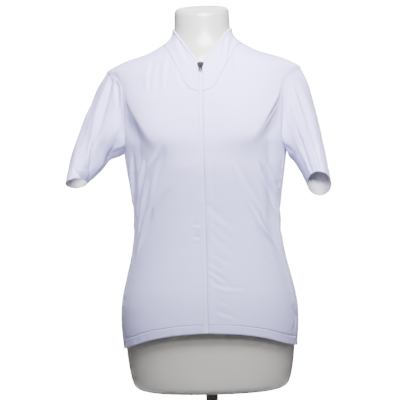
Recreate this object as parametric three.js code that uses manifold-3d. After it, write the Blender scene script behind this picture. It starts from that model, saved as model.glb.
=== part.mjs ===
// A full-zip cycling jersey with short sleeves on a limbless dress form.
// The form stands on a short pole and a round base plate.
// Millimetres, +Z up. The zip faces -Y and the wearer's left is +X.
// The origin is on the floor, under the middle of the base plate.

import * as THREE from "three";
import { mergeVertices } from "three/addons/utils/BufferGeometryUtils.js";
import Module from "manifold-3d";

// Cloth
const WALL = 1.2;
const GAP = 0.3;
const BAND_PROUD = 0.2;
const HEM_BAND = 16;

// Heights
const HIP_ROW = 245;
const ARMHOLE_FOOT = 545;
const SHOULDER = 692;
const YOKE_ROW = 717;
const NECK_FRONT = 647;
const ZIP_TOP = 705;
const POCKET_TOP = 329;
const POCKET_STAND = 1.8;

// Angles round the body, from the zip (0) to the middle of the back (180)
const SIDE_FRONT = 74;
const SIDE_BACK = 106;

// Zip
const ZIP_GAP_HALF = 3;
const CHAIN_HALF = 2.7;
const CHAIN_PROUD = 0.4;
const TAPE_WIDTH = 11;
const TAPE_WALL = 0.8;
const TAPE_FACE = -1.7;
const SLIDER_HEIGHT = 697;
const BOX_HEIGHT = 207;

// Stand
const BASE_RADIUS = 140;
const BASE_THICKNESS = 9;
const POLE_RADIUS = 11.7;
const FORM_FOOT = 85.5;

// Neck block of the form
const CAP_SLANT = 0.208;
const CAP_SLANT_FROM = 770;

// The jersey round the body: half width, depth in front of and behind the pole's axis,
// and the power of its oval section, which is lens-shaped over the shoulders
const JERSEY = [
  { z: 150, half: 163, front: 127, back: 125, power: 2.25 },
  { z: 185, half: 166.8, front: 128.5, back: 129, power: 2.25 },
  { z: 215, half: 168.8, front: 129, back: 131, power: 2.25 },
  { z: 240, half: 168.3, front: 128, back: 131, power: 2.25 },
  { z: 265, half: 164.8, front: 126, back: 128.5, power: 2.25 },
  { z: 300, half: 156.3, front: 120, back: 120, power: 2.25 },
  { z: 340, half: 146.8, front: 113.5, back: 108.5, power: 2.25 },
  { z: 380, half: 141, front: 110, back: 100, power: 2.25 },
  { z: 410, half: 139.8, front: 109.8, back: 97.5, power: 2.25 },
  { z: 445, half: 142.2, front: 112, back: 98.5, power: 2.25 },
  { z: 485, half: 147.5, front: 116.5, back: 104, power: 2.25 },
  { z: 515, half: 151.8, front: 119.5, back: 108, power: 2.25 },
  { z: 550, half: 156, front: 119.5, back: 111.5, power: 2.25 },
  { z: 590, half: 161.3, front: 115, back: 113, power: 2.25 },
  { z: 630, half: 168, front: 107, back: 111, power: 2.2 },
  { z: 660, half: 175.5, front: 98.5, back: 105.5, power: 1.95 },
  { z: 680, half: 181.5, front: 91.5, back: 100, power: 1.72 },
  { z: 691, half: 183.8, front: 87.3, back: 96.5, power: 1.58 },
  { z: 699, half: 175, front: 84, back: 92.5, power: 1.52 },
  { z: 708, half: 155.5, front: 80, back: 87.5, power: 1.52 },
  { z: 717, half: 128.5, front: 76, back: 82.5, power: 1.56 },
  { z: 726, half: 102.5, front: 71.5, back: 76.5, power: 1.66 },
  { z: 735, half: 85, front: 67.5, back: 70.5, power: 1.8 },
  { z: 744, half: 71.5, front: 64.2, back: 65, power: 1.95 },
  { z: 752, half: 62.5, front: 62, back: 60.8, power: 2.05 },
  { z: 762, half: 57.5, front: 60, back: 57.8, power: 2.1 },
  { z: 776, half: 55.3, front: 58, back: 55.5, power: 2.1 },
];

// The dress form under it, from the rounded foot to the neck block
const FORM = [
  { z: 85.5, half: 128, front: 96, back: 94, power: 2.25 },
  { z: 88, half: 137, front: 103, back: 102, power: 2.25 },
  { z: 92, half: 143.5, front: 108, back: 108, power: 2.25 },
  { z: 98, half: 148, front: 110.5, back: 111.5, power: 2.25 },
  { z: 110, half: 152, front: 112, back: 114, power: 2.25 },
  { z: 132, half: 156.3, front: 113, back: 117, power: 2.25 },
  { z: 160, half: 159.5, front: 114, back: 120.5, power: 2.25 },
  { z: 200, half: 162, front: 114.5, back: 124.5, power: 2.25 },
  { z: 235, half: 162.3, front: 113.5, back: 125, power: 2.25 },
  { z: 265, half: 158.5, front: 111, back: 121.5, power: 2.25 },
  { z: 300, half: 149.5, front: 107, back: 113, power: 2.25 },
  { z: 340, half: 139, front: 101, back: 101, power: 2.25 },
  { z: 380, half: 130.5, front: 96, back: 91.5, power: 2.25 },
  { z: 410, half: 128, front: 95, back: 88.5, power: 2.25 },
  { z: 445, half: 131, front: 98, back: 90, power: 2.25 },
  { z: 485, half: 138.5, front: 104, back: 96.5, power: 2.25 },
  { z: 515, half: 144, front: 108, back: 102, power: 2.25 },
  { z: 550, half: 149.5, front: 109.5, back: 106.5, power: 2.25 },
  { z: 590, half: 156, front: 107, back: 108, power: 2.25 },
  { z: 630, half: 163, front: 100, back: 106, power: 2.2 },
  { z: 660, half: 171, front: 91.5, back: 100.5, power: 1.93 },
  { z: 675, half: 176.5, front: 86.5, back: 97, power: 1.76 },
  { z: 687, half: 179, front: 82.5, back: 92.5, power: 1.6 },
  { z: 692.5, half: 176.5, front: 80.5, back: 90.5, power: 1.55 },
  { z: 697.5, half: 170.5, front: 79, back: 88, power: 1.52 },
  { z: 706, half: 153.5, front: 76, back: 84, power: 1.52 },
  { z: 714.8, half: 128.5, front: 72, back: 79, power: 1.56 },
  { z: 723.6, half: 102.5, front: 66.5, back: 73, power: 1.66 },
  { z: 732, half: 85, front: 61.5, back: 66.5, power: 1.8 },
  { z: 740, half: 71.5, front: 57.8, back: 60.5, power: 1.95 },
  { z: 748, half: 61, front: 55.3, back: 56.3, power: 2.05 },
  { z: 758, half: 55, front: 53.3, back: 53.2, power: 2.1 },
  { z: 772, half: 52.8, front: 52, back: 51, power: 2.1 },
  { z: 800, half: 51.7, front: 51, back: 48, power: 2.1 },
  { z: 805.5, half: 50, front: 49.2, back: 46.3, power: 2.1 },
  { z: 808, half: 46.5, front: 45.7, back: 42.8, power: 2.1 },
];

// The bust under the fronts
const BUST = { angle: 37, height: 560, spread: 23, above: 60, below: 46, jersey: 14, form: 13 };

// Lower edge of the jersey, which rises at the zip and drops behind
const HEM = [
  { angle: 0, z: 203 },
  { angle: 17, z: 199.5 },
  { angle: 30, z: 194 },
  { angle: 42, z: 187 },
  { angle: 55, z: 178.5 },
  { angle: 70, z: 171 },
  { angle: 90, z: 165 },
  { angle: 120, z: 158 },
  { angle: 150, z: 154.5 },
  { angle: 180, z: 153 },
];

// Edges of the armhole on the front and the back, up to the shoulder
const ARMHOLE = [
  { z: 545, front: 74, back: 106 },
  { z: 557, front: 67.5, back: 112.5 },
  { z: 575, front: 65, back: 115 },
  { z: 600, front: 63.3, back: 116.7 },
  { z: 628, front: 61, back: 118 },
  { z: 652, front: 59.2, back: 118.5 },
  { z: 668, front: 61, back: 116.5 },
  { z: 678, front: 66.5, back: 111.5 },
  { z: 685, front: 74, back: 104.5 },
  { z: 690, front: 83, back: 96.5 },
  { z: 692, front: 90, back: 90 },
];

// Top of the side panel, the foot of the armhole
const UNDERARM = [
  { angle: 74, z: 545 },
  { angle: 82, z: 538.5 },
  { angle: 90, z: 536.5 },
  { angle: 98, z: 538.5 },
  { angle: 106, z: 545 },
];

// The neck seam of a front: its distance from the zip at each height, and the collar's edge above it
const NECKLINE = [
  { z: 647, seam: 3, topX: 3, topZ: 706 },
  { z: 652, seam: 17, topX: 8, topZ: 710 },
  { z: 660, seam: 26.5, topX: 12, topZ: 714.5 },
  { z: 668, seam: 31.5, topX: 16, topZ: 719 },
  { z: 678, seam: 36.5, topX: 20.5, topZ: 725 },
  { z: 690, seam: 42.5, topX: 25.5, topZ: 731.5 },
  { z: 700, seam: 48, topX: 29.5, topZ: 737 },
  { z: 708, seam: 52.5, topX: 33.5, topZ: 742.5 },
  { z: 717, seam: 57.5, topX: 39, topZ: 749.5 },
  { z: 725, seam: 61.5, topX: 44, topZ: 756 },
  { z: 732, seam: 66, topX: 49, topZ: 762 },
  { z: 737.5, seam: 72, topX: 53, topZ: 766.5 },
];
const NECK_BEHIND = [
  { angle: 90, z: 738 },
  { angle: 115, z: 743 },
  { angle: 145, z: 747.5 },
  { angle: 180, z: 749 },
];
const COLLAR_BEHIND = [
  { angle: 90, z: 769.5 },
  { angle: 130, z: 773 },
  { angle: 180, z: 775 },
];

// Heights at which the panels are worked out above the hips
const PANEL_ROWS = [
  HIP_ROW, 272, 300, 329, 358, 387, 416, 445, 474, 500, 523, 545, 557, 575, 592, 610,
  628, 647, 652, 660, 668, 678, 685, 690, 692, 700, 708, 717, 725, 732, 737.5,
];
const LOW_STEPS = [0, 0.35, 0.68];

// Sleeves in the front view: outer and under edge, depth either side, and how far the cuff tips
const SLEEVES = {
  sleeve_left: {
    side: 1,
    edges: [
      { at: 0, outX: 184, outZ: 691, inX: 155, inZ: 536.5, front: 57, back: 57, tip: 0 },
      { at: 0.18, outX: 198.5, outZ: 660, inX: 158.5, inZ: 523, front: 60, back: 60, tip: 0.03 },
      { at: 0.4, outX: 210.5, outZ: 614, inX: 166, inZ: 514.5, front: 60, back: 61, tip: 0.1 },
      { at: 0.6, outX: 219.5, outZ: 571, inX: 174.5, inZ: 501.5, front: 59, back: 60, tip: 0.18 },
      { at: 0.8, outX: 228.5, outZ: 523, inX: 183.5, inZ: 487, front: 58, back: 59, tip: 0.28 },
      { at: 1, outX: 237, outZ: 469, inX: 191.5, inZ: 471, front: 57, back: 57, tip: 0.42 },
    ],
    troughs: [
      { from: 2.0, at: 0.05, to: 1.35, end: 0.98, width: 20, depth: 5 },
      { from: 1.3, at: 0.12, to: 0.75, end: 0.75, width: 16, depth: 4 },
      { from: 4.3, at: 0.08, to: 4.9, end: 0.92, width: 20, depth: 5 },
    ],
  },
  sleeve_right: {
    side: -1,
    edges: [
      { at: 0, outX: 184, outZ: 691, inX: 155, inZ: 536.5, front: 57, back: 57, tip: 0 },
      { at: 0.18, outX: 202, outZ: 663, inX: 165.5, inZ: 531, front: 60, back: 60, tip: 0.02 },
      { at: 0.4, outX: 221, outZ: 624, inX: 182, inZ: 525.5, front: 60, back: 61, tip: 0.06 },
      { at: 0.6, outX: 238, outZ: 582, inX: 198, inZ: 507.5, front: 59, back: 60, tip: 0.1 },
      { at: 0.8, outX: 254.5, outZ: 536, inX: 214.5, inZ: 494, front: 58, back: 59, tip: 0.14 },
      { at: 1, outX: 268, outZ: 479, inX: 229, inZ: 486, front: 56, back: 57, tip: 0.17 },
    ],
    troughs: [
      { from: 2.2, at: 0.04, to: 1.5, end: 0.98, width: 20, depth: 5 },
      { from: 1.0, at: 0.25, to: 0.8, end: 0.85, width: 16, depth: 4 },
      { from: 4.2, at: 0.1, to: 4.8, end: 0.95, width: 20, depth: 5 },
    ],
  },
};
const SLEEVE_RINGS = [0, 0.06, 0.14, 0.24, 0.36, 0.48, 0.6, 0.72, 0.86, 1];
const BLEND_LENGTH = 0.5;

// The broad folds of the body, from the bust to the hip on each front and on the back
const FOLDS = [
  { angle: -58, z: 535, toAngle: -66, toZ: 395, width: 15, depth: 3 },
  { angle: 50, z: 540, toAngle: 64, toZ: 385, width: 16, depth: 3.5 },
  { angle: 58, z: 400, toAngle: 72, toZ: 270, width: 18, depth: 3 },
  { angle: 133, z: 560, toAngle: 122, toZ: 420, width: 18, depth: 3 },
  { angle: -130, z: 570, toAngle: -120, toZ: 410, width: 20, depth: 3 },
];

const group = new THREE.Group();
const finish = {
  cloth: { color: 0xe6e7ee, roughness: 0.85, metalness: 0 },
  tape: { color: 0xdedfe8, roughness: 0.9, metalness: 0 },
  plastic: { color: 0xf0f0f2, roughness: 0.45, metalness: 0 },
  gunmetal: { color: 0x55565c, roughness: 0.35, metalness: 0.9 },
  form: { color: 0xe9e7e3, roughness: 0.3, metalness: 0 },
  steel: { color: 0x5a5b5e, roughness: 0.4, metalness: 0.9 },
};

function add(name, geometry, look, parent = group) {
  const mesh = new THREE.Mesh(geometry, new THREE.MeshStandardMaterial(finish[look]));
  mesh.name = name;
  parent.add(mesh);
  return mesh;
}

// A smooth curve through a table's rows that never overshoots between them
function curve(table, input, output) {
  const xs = table.map((row) => row[input]);
  const ys = table.map((row) => row[output]);
  const rise = xs.slice(1).map((x, i) => (ys[i + 1] - ys[i]) / (x - xs[i]));
  const slopes = xs.map((x, i) => {
    if (i === 0) return rise[0];
    if (i === xs.length - 1) return rise[i - 1];
    if (rise[i - 1] * rise[i] <= 0) return 0;
    return (2 * rise[i - 1] * rise[i]) / (rise[i - 1] + rise[i]);
  });
  return (x) => {
    let i = 0;
    while (i < xs.length - 2 && x > xs[i + 1]) i += 1;
    const span = xs[i + 1] - xs[i];
    const t = THREE.MathUtils.clamp((x - xs[i]) / span, 0, 1);
    const near = (1 + 2 * t) * (1 - t) ** 2 * ys[i] + t * t * (3 - 2 * t) * ys[i + 1];
    return near + span * (t * (1 - t) ** 2 * slopes[i] + t * t * (t - 1) * slopes[i + 1]);
  };
}

const jersey = {
  half: curve(JERSEY, "z", "half"),
  front: curve(JERSEY, "z", "front"),
  back: curve(JERSEY, "z", "back"),
  power: curve(JERSEY, "z", "power"),
  bust: BUST.jersey,
  folds: FOLDS,
};
const form = {
  half: curve(FORM, "z", "half"),
  front: curve(FORM, "z", "front"),
  back: curve(FORM, "z", "back"),
  power: curve(FORM, "z", "power"),
  bust: BUST.form,
  folds: [],
};
const hemAt = curve(HEM, "angle", "z");
const armholeFront = curve(ARMHOLE, "z", "front");
const armholeBack = curve(ARMHOLE, "z", "back");
const underarmAt = curve(UNDERARM, "angle", "z");
const neckSeamAt = curve(NECKLINE, "z", "seam");
const collarEdgeX = curve(NECKLINE, "z", "topX");
const collarEdgeZ = curve(NECKLINE, "z", "topZ");
const neckBehindAt = curve(NECK_BEHIND, "angle", "z");
const collarBehindAt = curve(COLLAR_BEHIND, "angle", "z");

const radians = THREE.MathUtils.degToRad;
const signedPower = (value, power) => Math.sign(value) * Math.abs(value) ** power;
const halfTurn = (angle) => ((angle + 540) % 360) - 180;

function bustSwell(angle, z, height) {
  const across = (Math.abs(angle) - BUST.angle) / BUST.spread;
  const up = (z - BUST.height) / (z > BUST.height ? BUST.above : BUST.below);
  return height * Math.exp(-across * across - up * up);
}

// How deep the broad folds press the cloth in at one place
function foldDepth(folds, angle, z, halfWidth) {
  let depth = 0;
  for (const fold of folds) {
    const along = THREE.MathUtils.clamp((z - fold.z) / (fold.toZ - fold.z), 0, 1);
    const middle = fold.angle + (fold.toAngle - fold.angle) * along;
    const aside = (radians(halfTurn(angle - middle)) * halfWidth) / fold.width;
    const past = Math.max(0, Math.max(z - fold.z, fold.toZ - z)) / fold.width;
    depth += fold.depth * Math.sin(Math.PI * (0.15 + 0.7 * along)) * Math.exp(-aside * aside - past * past);
  }
  return depth;
}

// A point of the body at an angle round it, which runs from the zip to either side
function bodyPoint(body, anyAngle, z) {
  const angle = halfTurn(anyAngle);
  const turn = radians(angle);
  const power = 2 / body.power(z);
  const half = body.half(z);
  const forward = Math.cos(turn);
  const depth = forward > 0 ? body.front(z) + bustSwell(angle, z, body.bust) : body.back(z);
  const inward = 1 - foldDepth(body.folds, angle, z, half) / half;
  const x = half * signedPower(Math.sin(turn), power) * inward;
  const y = -depth * signedPower(forward, power) * inward;
  return new THREE.Vector3(x, y, z);
}

function bodyNormal(body, angle, z) {
  const round = bodyPoint(body, angle + 0.2, z).sub(bodyPoint(body, angle - 0.2, z));
  const up = bodyPoint(body, angle, z + 0.4).sub(bodyPoint(body, angle, z - 0.4));
  return round.cross(up).normalize();
}

// A point of the jersey moved out from its surface
function clothPoint(angle, z, out) {
  return bodyPoint(jersey, angle, z).addScaledVector(bodyNormal(jersey, angle, z), out);
}

// The angle at which the jersey is a given distance to the side of the zip
function angleAside(x, z) {
  const share = Math.min(1, Math.abs(x) / jersey.half(z)) ** (jersey.power(z) / 2);
  return Math.sign(x) * THREE.MathUtils.radToDeg(Math.asin(share));
}

// An angle moved along the cloth by a distance, for the gap of a seam
function shiftAngle(angle, z, distance) {
  const step = bodyPoint(jersey, angle + 0.5, z).distanceTo(bodyPoint(jersey, angle - 0.5, z));
  return angle + distance / step;
}

function meshOf(points, faces) {
  const geometry = new THREE.BufferGeometry();
  geometry.setAttribute("position", new THREE.Float32BufferAttribute(points.flatMap((p) => p.toArray()), 3));
  let volume = 0;
  const inner = new THREE.Vector3();
  for (const [a, b, c] of faces) volume += points[a].dot(inner.crossVectors(points[b], points[c]));
  geometry.setIndex(faces.flatMap(([a, b, c]) => (volume < 0 ? [a, c, b] : [a, b, c])));
  geometry.computeVertexNormals();
  return geometry;
}

// A closed wall between two grids of points, joined along their edges
function wall(outer, inner, closed = false) {
  const rows = outer.length;
  const columns = outer[0].length;
  const points = [...outer.flat(), ...inner.flat()];
  const at = (row, column, side) => side * rows * columns + row * columns + (column % columns);
  const faces = [];
  const quad = (a, b, c, d) => faces.push([a, b, c], [a, c, d]);
  const across = closed ? columns : columns - 1;
  for (let r = 0; r < rows - 1; r += 1) {
    for (let c = 0; c < across; c += 1) {
      quad(at(r, c, 0), at(r, c + 1, 0), at(r + 1, c + 1, 0), at(r + 1, c, 0));
      quad(at(r, c, 1), at(r + 1, c, 1), at(r + 1, c + 1, 1), at(r, c + 1, 1));
    }
    if (!closed) {
      quad(at(r, 0, 0), at(r + 1, 0, 0), at(r + 1, 0, 1), at(r, 0, 1));
      quad(at(r, columns - 1, 0), at(r, columns - 1, 1), at(r + 1, columns - 1, 1), at(r + 1, columns - 1, 0));
    }
  }
  for (let c = 0; c < across; c += 1) {
    quad(at(0, c, 0), at(0, c, 1), at(0, c + 1, 1), at(0, c + 1, 0));
    quad(at(rows - 1, c, 0), at(rows - 1, c + 1, 0), at(rows - 1, c + 1, 1), at(rows - 1, c, 1));
  }
  return meshOf(points, faces);
}

// A panel that lies on the jersey, from rows of [angle, height], with its two faces at given distances out
function panel(rows, outside = 0, inside = -WALL) {
  const grid = (out) => rows.map((row) => row.map(([angle, z]) => clothPoint(angle, z, out)));
  return wall(grid(outside), grid(inside));
}

// A solid of rings with a flat cap at each end
function capped(rings) {
  const columns = rings[0].length;
  const points = rings.flat();
  const faces = [];
  for (let r = 0; r < rings.length - 1; r += 1) {
    for (let c = 0; c < columns; c += 1) {
      const a = r * columns + c;
      const b = r * columns + ((c + 1) % columns);
      faces.push([a, b, b + columns], [a, b + columns, a + columns]);
    }
  }
  for (const [ring, turned] of [[0, true], [rings.length - 1, false]]) {
    const middle = rings[ring].reduce((sum, p) => sum.add(p), new THREE.Vector3()).divideScalar(columns);
    points.push(middle);
    for (let c = 0; c < columns; c += 1) {
      const a = ring * columns + c;
      const b = ring * columns + ((c + 1) % columns);
      faces.push(turned ? [b, a, points.length - 1] : [a, b, points.length - 1]);
    }
  }
  return meshOf(points, faces);
}

// Rows of a panel below the hips, which follow the rise and fall of the hem
const fromZip = (angle) => Math.abs(halfTurn(angle));
const panelFoot = (angle) => hemAt(fromZip(angle)) + HEM_BAND + GAP;
function lowHeight(angle, step) {
  const foot = panelFoot(angle);
  return foot + (HIP_ROW - foot) * step;
}

function spread(from, to, count) {
  return Array.from({ length: count + 1 }, (_, i) => from + ((to - from) * i) / count);
}

function fullRows(columnsAt, heights) {
  const low = LOW_STEPS.map((step) => columnsAt(HIP_ROW).map((angle) => [angle, lowHeight(angle, step)]));
  return [...low, ...heights.map((z) => columnsAt(z).map((angle) => [angle, z]))];
}

// Fronts, one on each side of the zip
const FRONT_COLUMNS = 9;
function frontColumns(z) {
  const zipEdge = angleAside(ZIP_GAP_HALF, z);
  const neck = z > NECK_FRONT ? shiftAngle(angleAside(neckSeamAt(z), z), z, GAP / 2) : 0;
  const outer = z < ARMHOLE_FOOT ? SIDE_FRONT : z < SHOULDER ? armholeFront(z) : 90;
  return spread(Math.max(zipEdge, neck), shiftAngle(outer, z, -GAP / 2), FRONT_COLUMNS);
}
for (const [name, side] of [["front_left", 1], ["front_right", -1]]) {
  const rows = fullRows(frontColumns, PANEL_ROWS);
  add(name, panel(rows.map((row) => row.map(([angle, z]) => [side * angle, z]))), "cloth");
}

// Back, one piece from side panel to side panel and up to both shoulders
const BACK_COLUMNS = 7;
function backEdge(z) {
  if (z < ARMHOLE_FOOT) return SIDE_BACK;
  return z < SHOULDER ? armholeBack(z) : 90;
}
function backColumns(z) {
  const edge = shiftAngle(backEdge(z), z, GAP / 2);
  const half = spread(edge, 180, BACK_COLUMNS);
  return [...half, ...half.slice(0, -1).reverse().map((angle) => 360 - angle)];
}
const backRows = fullRows(backColumns, PANEL_ROWS.filter((z) => z <= YOKE_ROW));
for (const share of [0.36, 0.68, 1]) {
  backRows.push(backColumns(YOKE_ROW).map((angle) => {
    const top = neckBehindAt(fromZip(angle));
    return [angle, YOKE_ROW + (top - YOKE_ROW) * share];
  }));
}
add("back", panel(backRows), "cloth");

// Side panels under the arms
for (const [name, side] of [["side_left", 1], ["side_right", -1]]) {
  const columns = (z) => {
    const [first, last] = [shiftAngle(SIDE_FRONT, z, GAP / 2), shiftAngle(SIDE_BACK, z, -GAP / 2)];
    return spread(first, last, 4);
  };
  const rows = fullRows(columns, PANEL_ROWS.filter((z) => z < 530));
  rows.push(columns(ARMHOLE_FOOT).map((angle) => [angle, underarmAt(angle) - GAP / 2]));
  add(name, panel(rows.map((row) => row.map(([angle, z]) => [side * angle, z]))), "cloth");
}

// Hem band, one strip from zip edge to zip edge
const hemStart = angleAside(ZIP_GAP_HALF, 210);
const hemAngles = spread(hemStart, 360 - hemStart, 44);
const hemRows = [0, 0.5, 1].map((share) =>
  hemAngles.map((angle) => [angle, hemAt(fromZip(angle)) + HEM_BAND * share]),
);
add("hem_band", panel(hemRows, BAND_PROUD), "cloth");

// Collar, one strip from the zip round the neck to the zip
const collarHalf = [
  ...PANEL_ROWS.filter((z) => z >= NECK_FRONT).map((z) => ({
    foot: [angleAside(neckSeamAt(z), z), z],
    edge: [angleAside(collarEdgeX(z), collarEdgeZ(z)), collarEdgeZ(z)],
  })),
  ...spread(90, 180, BACK_COLUMNS).map((angle) => ({
    foot: [angle, neckBehindAt(angle)],
    edge: [angle, collarBehindAt(angle)],
  })),
];
const collarRows = [0, 1 / 3, 2 / 3, 1].map((share) => {
  const half = collarHalf.map(({ foot, edge }) => {
    const z = foot[1] + GAP + (edge[1] - foot[1] - GAP) * share;
    return [foot[0] + (edge[0] - foot[0]) * share, z];
  });
  return [...half, ...half.slice(0, -1).reverse().map(([angle, z]) => [360 - angle, z])];
});
add("collar", panel(collarRows), "cloth");

// The loop of the armhole, from under the arm up the front, over the shoulder and down the back
function armholeLoop(side) {
  const heights = PANEL_ROWS.filter((z) => z > ARMHOLE_FOOT && z < SHOULDER);
  const places = [
    [90, underarmAt(90)],
    [82, underarmAt(82)],
    [SIDE_FRONT, ARMHOLE_FOOT],
    ...heights.map((z) => [armholeFront(z), z]),
    [90, SHOULDER],
    ...heights.map((z) => [armholeBack(z), z]).reverse(),
    [SIDE_BACK, ARMHOLE_FOOT],
    [98, underarmAt(98)],
  ];
  const points = places.map(([angle, z]) => clothPoint(side * angle, z, 0));
  const middle = points.reduce((sum, p) => sum.add(p), new THREE.Vector3()).divideScalar(points.length);
  const lengths = points.map((p, i) => p.distanceTo(points[(i + 1) % points.length]));
  const length = (from, to) => lengths.slice(from, to).reduce((a, b) => a + b, 0);
  const top = heights.length + 3;
  return places.map(([angle, z], i) => {
    const normal = bodyNormal(jersey, side * angle, z);
    const along = points[(i + 1) % points.length].clone().sub(points.at(i - 1));
    const off = along.cross(normal).normalize();
    off.multiplyScalar(Math.sign(off.dot(middle.clone().sub(points[i]))));
    const outer = points[i].clone().addScaledVector(off, GAP);
    const share = i <= top ? length(0, i) / length(0, top) : 1 + length(top, i) / length(top);
    return { outer, inner: outer.clone().addScaledVector(normal, -WALL), turn: share * Math.PI };
  });
}

// A section of a sleeve: an oval between its outer and its under edge, tipped towards the cuff
function sleeveSection(edges, side, at, turn) {
  const value = (column) => curve(edges, "at", column)(at);
  const outer = new THREE.Vector3(value("outX"), 0, value("outZ"));
  const under = new THREE.Vector3(value("inX"), 0, value("inZ"));
  const point = outer.clone().add(under).multiplyScalar(0.5);
  point.addScaledVector(outer.sub(under), -0.5 * Math.cos(turn));
  const lift = Math.sin(turn);
  point.y = -lift * value(lift > 0 ? "front" : "back");
  point.z -= value("tip") * point.y;
  point.x *= side;
  return point;
}

function troughDepth(troughs, at, turn, radius, length) {
  let depth = 0;
  for (const trough of troughs) {
    const along = THREE.MathUtils.clamp((at - trough.at) / (trough.end - trough.at), 0, 1);
    const aside = ((turn - trough.from - (trough.to - trough.from) * along) * radius) / trough.width;
    const past = (Math.max(0, trough.at - at, at - trough.end) * length) / trough.width;
    depth += trough.depth * Math.sin(Math.PI * (0.12 + 0.76 * along)) * Math.exp(-aside * aside - past * past);
  }
  return depth;
}

// Outward normals of a tube of rings
function tubeNormals(rings) {
  return rings.map((ring, j) => {
    const middle = ring.reduce((sum, p) => sum.add(p), new THREE.Vector3()).divideScalar(ring.length);
    return ring.map((point, k) => {
      const round = ring[(k + 1) % ring.length].clone().sub(ring.at(k - 1));
      const along = rings[Math.min(j + 1, rings.length - 1)][k].clone().sub(rings[Math.max(j - 1, 0)][k]);
      const normal = round.cross(along).normalize();
      return normal.multiplyScalar(Math.sign(normal.dot(point.clone().sub(middle))));
    });
  });
}

const SLEEVE_RADIUS = 58;
const SLEEVE_LENGTH = 200;
for (const [name, { side, edges, troughs }] of Object.entries(SLEEVES)) {
  const loop = armholeLoop(side);
  const rings = SLEEVE_RINGS.map((at) => loop.map(({ outer, turn }) => {
    const held = 1 - THREE.MathUtils.smoothstep(at, 0, BLEND_LENGTH);
    const start = sleeveSection(edges, side, 0, turn);
    return sleeveSection(edges, side, at, turn).addScaledVector(outer.clone().sub(start), held);
  }));
  const plain = tubeNormals(rings);
  const outside = rings.map((ring, j) => ring.map((point, k) => {
    const depth = troughDepth(troughs, SLEEVE_RINGS[j], loop[k].turn, SLEEVE_RADIUS, SLEEVE_LENGTH);
    return point.clone().addScaledVector(plain[j][k], j === 0 ? 0 : -depth);
  }));
  const normals = tubeNormals(outside);
  const inside = outside.map((ring, j) => ring.map((point, k) => (
    j === 0 ? loop[k].inner : point.clone().addScaledVector(normals[j][k], -WALL)
  )));
  add(name, wall(outside, inside, true), "cloth");
}

// Rear pocket, laid on the lower back with its top edge standing off a little
const pocketRows = fullRows((z) => backColumns(z).slice(1, -1), PANEL_ROWS.filter((z) => z <= POCKET_TOP));
const pocketGrid = (thickness) => pocketRows.map((row) => row.map(([angle, z]) => {
  const share = (z - panelFoot(angle)) / (POCKET_TOP - panelFoot(angle));
  return clothPoint(angle, z, GAP + POCKET_STAND * share ** 2 + thickness);
}));
add("rear_pocket", wall(pocketGrid(WALL), pocketGrid(0)), "cloth");

// Zip: a tape behind each edge, the chain between the edges, and the box at its foot
const zipFoot = hemAt(0);
const zipRows = [zipFoot + 0.5, 218, 232, ...PANEL_ROWS.filter((z) => z < ZIP_TOP - 8), ZIP_TOP];
const strip = (from, to, outside, inside) => panel(
  zipRows.map((z) => [from, to].map((x) => [angleAside(x, z), z])),
  outside,
  inside,
);
add("zip_tape_left", strip(GAP / 2, TAPE_WIDTH, TAPE_FACE, TAPE_FACE - TAPE_WALL), "tape");
add("zip_tape_right", strip(-TAPE_WIDTH, -GAP / 2, TAPE_FACE, TAPE_FACE - TAPE_WALL), "tape");
add("zip_chain", strip(-CHAIN_HALF, CHAIN_HALF, CHAIN_PROUD, TAPE_FACE + GAP), "plastic");

// A group that lies on the zip at one height: X across, Y up the zip, Z out from the cloth
function onZip(z) {
  const frame = new THREE.Group();
  const out = bodyNormal(jersey, 0, z);
  const across = new THREE.Vector3(1, 0, 0);
  frame.matrix.makeBasis(across, out.clone().cross(across), out).setPosition(clothPoint(0, z, 0));
  frame.matrix.decompose(frame.position, frame.quaternion, frame.scale);
  group.add(frame);
  return frame;
}

const BOX = { half: 3.2, height: 7, thickness: 1.6 };
const boxShape = new THREE.BoxGeometry(2 * BOX.half, BOX.height, BOX.thickness);
boxShape.translate(0, 0, CHAIN_PROUD + GAP + BOX.thickness / 2);
add("zip_box", boxShape, "plastic", onZip(BOX_HEIGHT));

// Slider: a shield-shaped plate with an eye that holds the pull tab
const PLATE = { back: 0.75, thickness: 1.4, top: 5.9, shoulder: 2.2, half: 6.3, foot: -5.2, footHalf: 4.1 };
const EYE = { y: -2.4, height: 1.65, radius: 2.15, hole: 1.15, half: 1.2, sunk: 0.3 };
const plateFace = PLATE.back + PLATE.thickness;

const plateOutline = new THREE.Shape();
plateOutline.moveTo(-PLATE.footHalf + 1, PLATE.foot);
plateOutline.lineTo(PLATE.footHalf - 1, PLATE.foot);
plateOutline.quadraticCurveTo(PLATE.footHalf, PLATE.foot, PLATE.footHalf + 0.2, PLATE.foot + 1);
plateOutline.quadraticCurveTo(PLATE.half - 1, -1, PLATE.half, PLATE.shoulder);
plateOutline.quadraticCurveTo(PLATE.half - 0.3, PLATE.top - 0.6, 0, PLATE.top);
plateOutline.quadraticCurveTo(-PLATE.half + 0.3, PLATE.top - 0.6, -PLATE.half, PLATE.shoulder);
plateOutline.quadraticCurveTo(-PLATE.half + 1, -1, -PLATE.footHalf - 0.2, PLATE.foot + 1);
plateOutline.quadraticCurveTo(-PLATE.footHalf, PLATE.foot, -PLATE.footHalf + 1, PLATE.foot);

const eyeOutline = new THREE.Shape();
eyeOutline.moveTo(-EYE.radius, -EYE.height - EYE.sunk);
eyeOutline.lineTo(EYE.radius, -EYE.height - EYE.sunk);
eyeOutline.lineTo(EYE.radius, 0);
eyeOutline.absarc(0, 0, EYE.radius, 0, Math.PI, false);
eyeOutline.lineTo(-EYE.radius, -EYE.height - EYE.sunk);
const eyeHole = new THREE.Path();
eyeHole.absarc(0, 0, EYE.hole, 0, 2 * Math.PI, true);
eyeOutline.holes.push(eyeHole);

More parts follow.
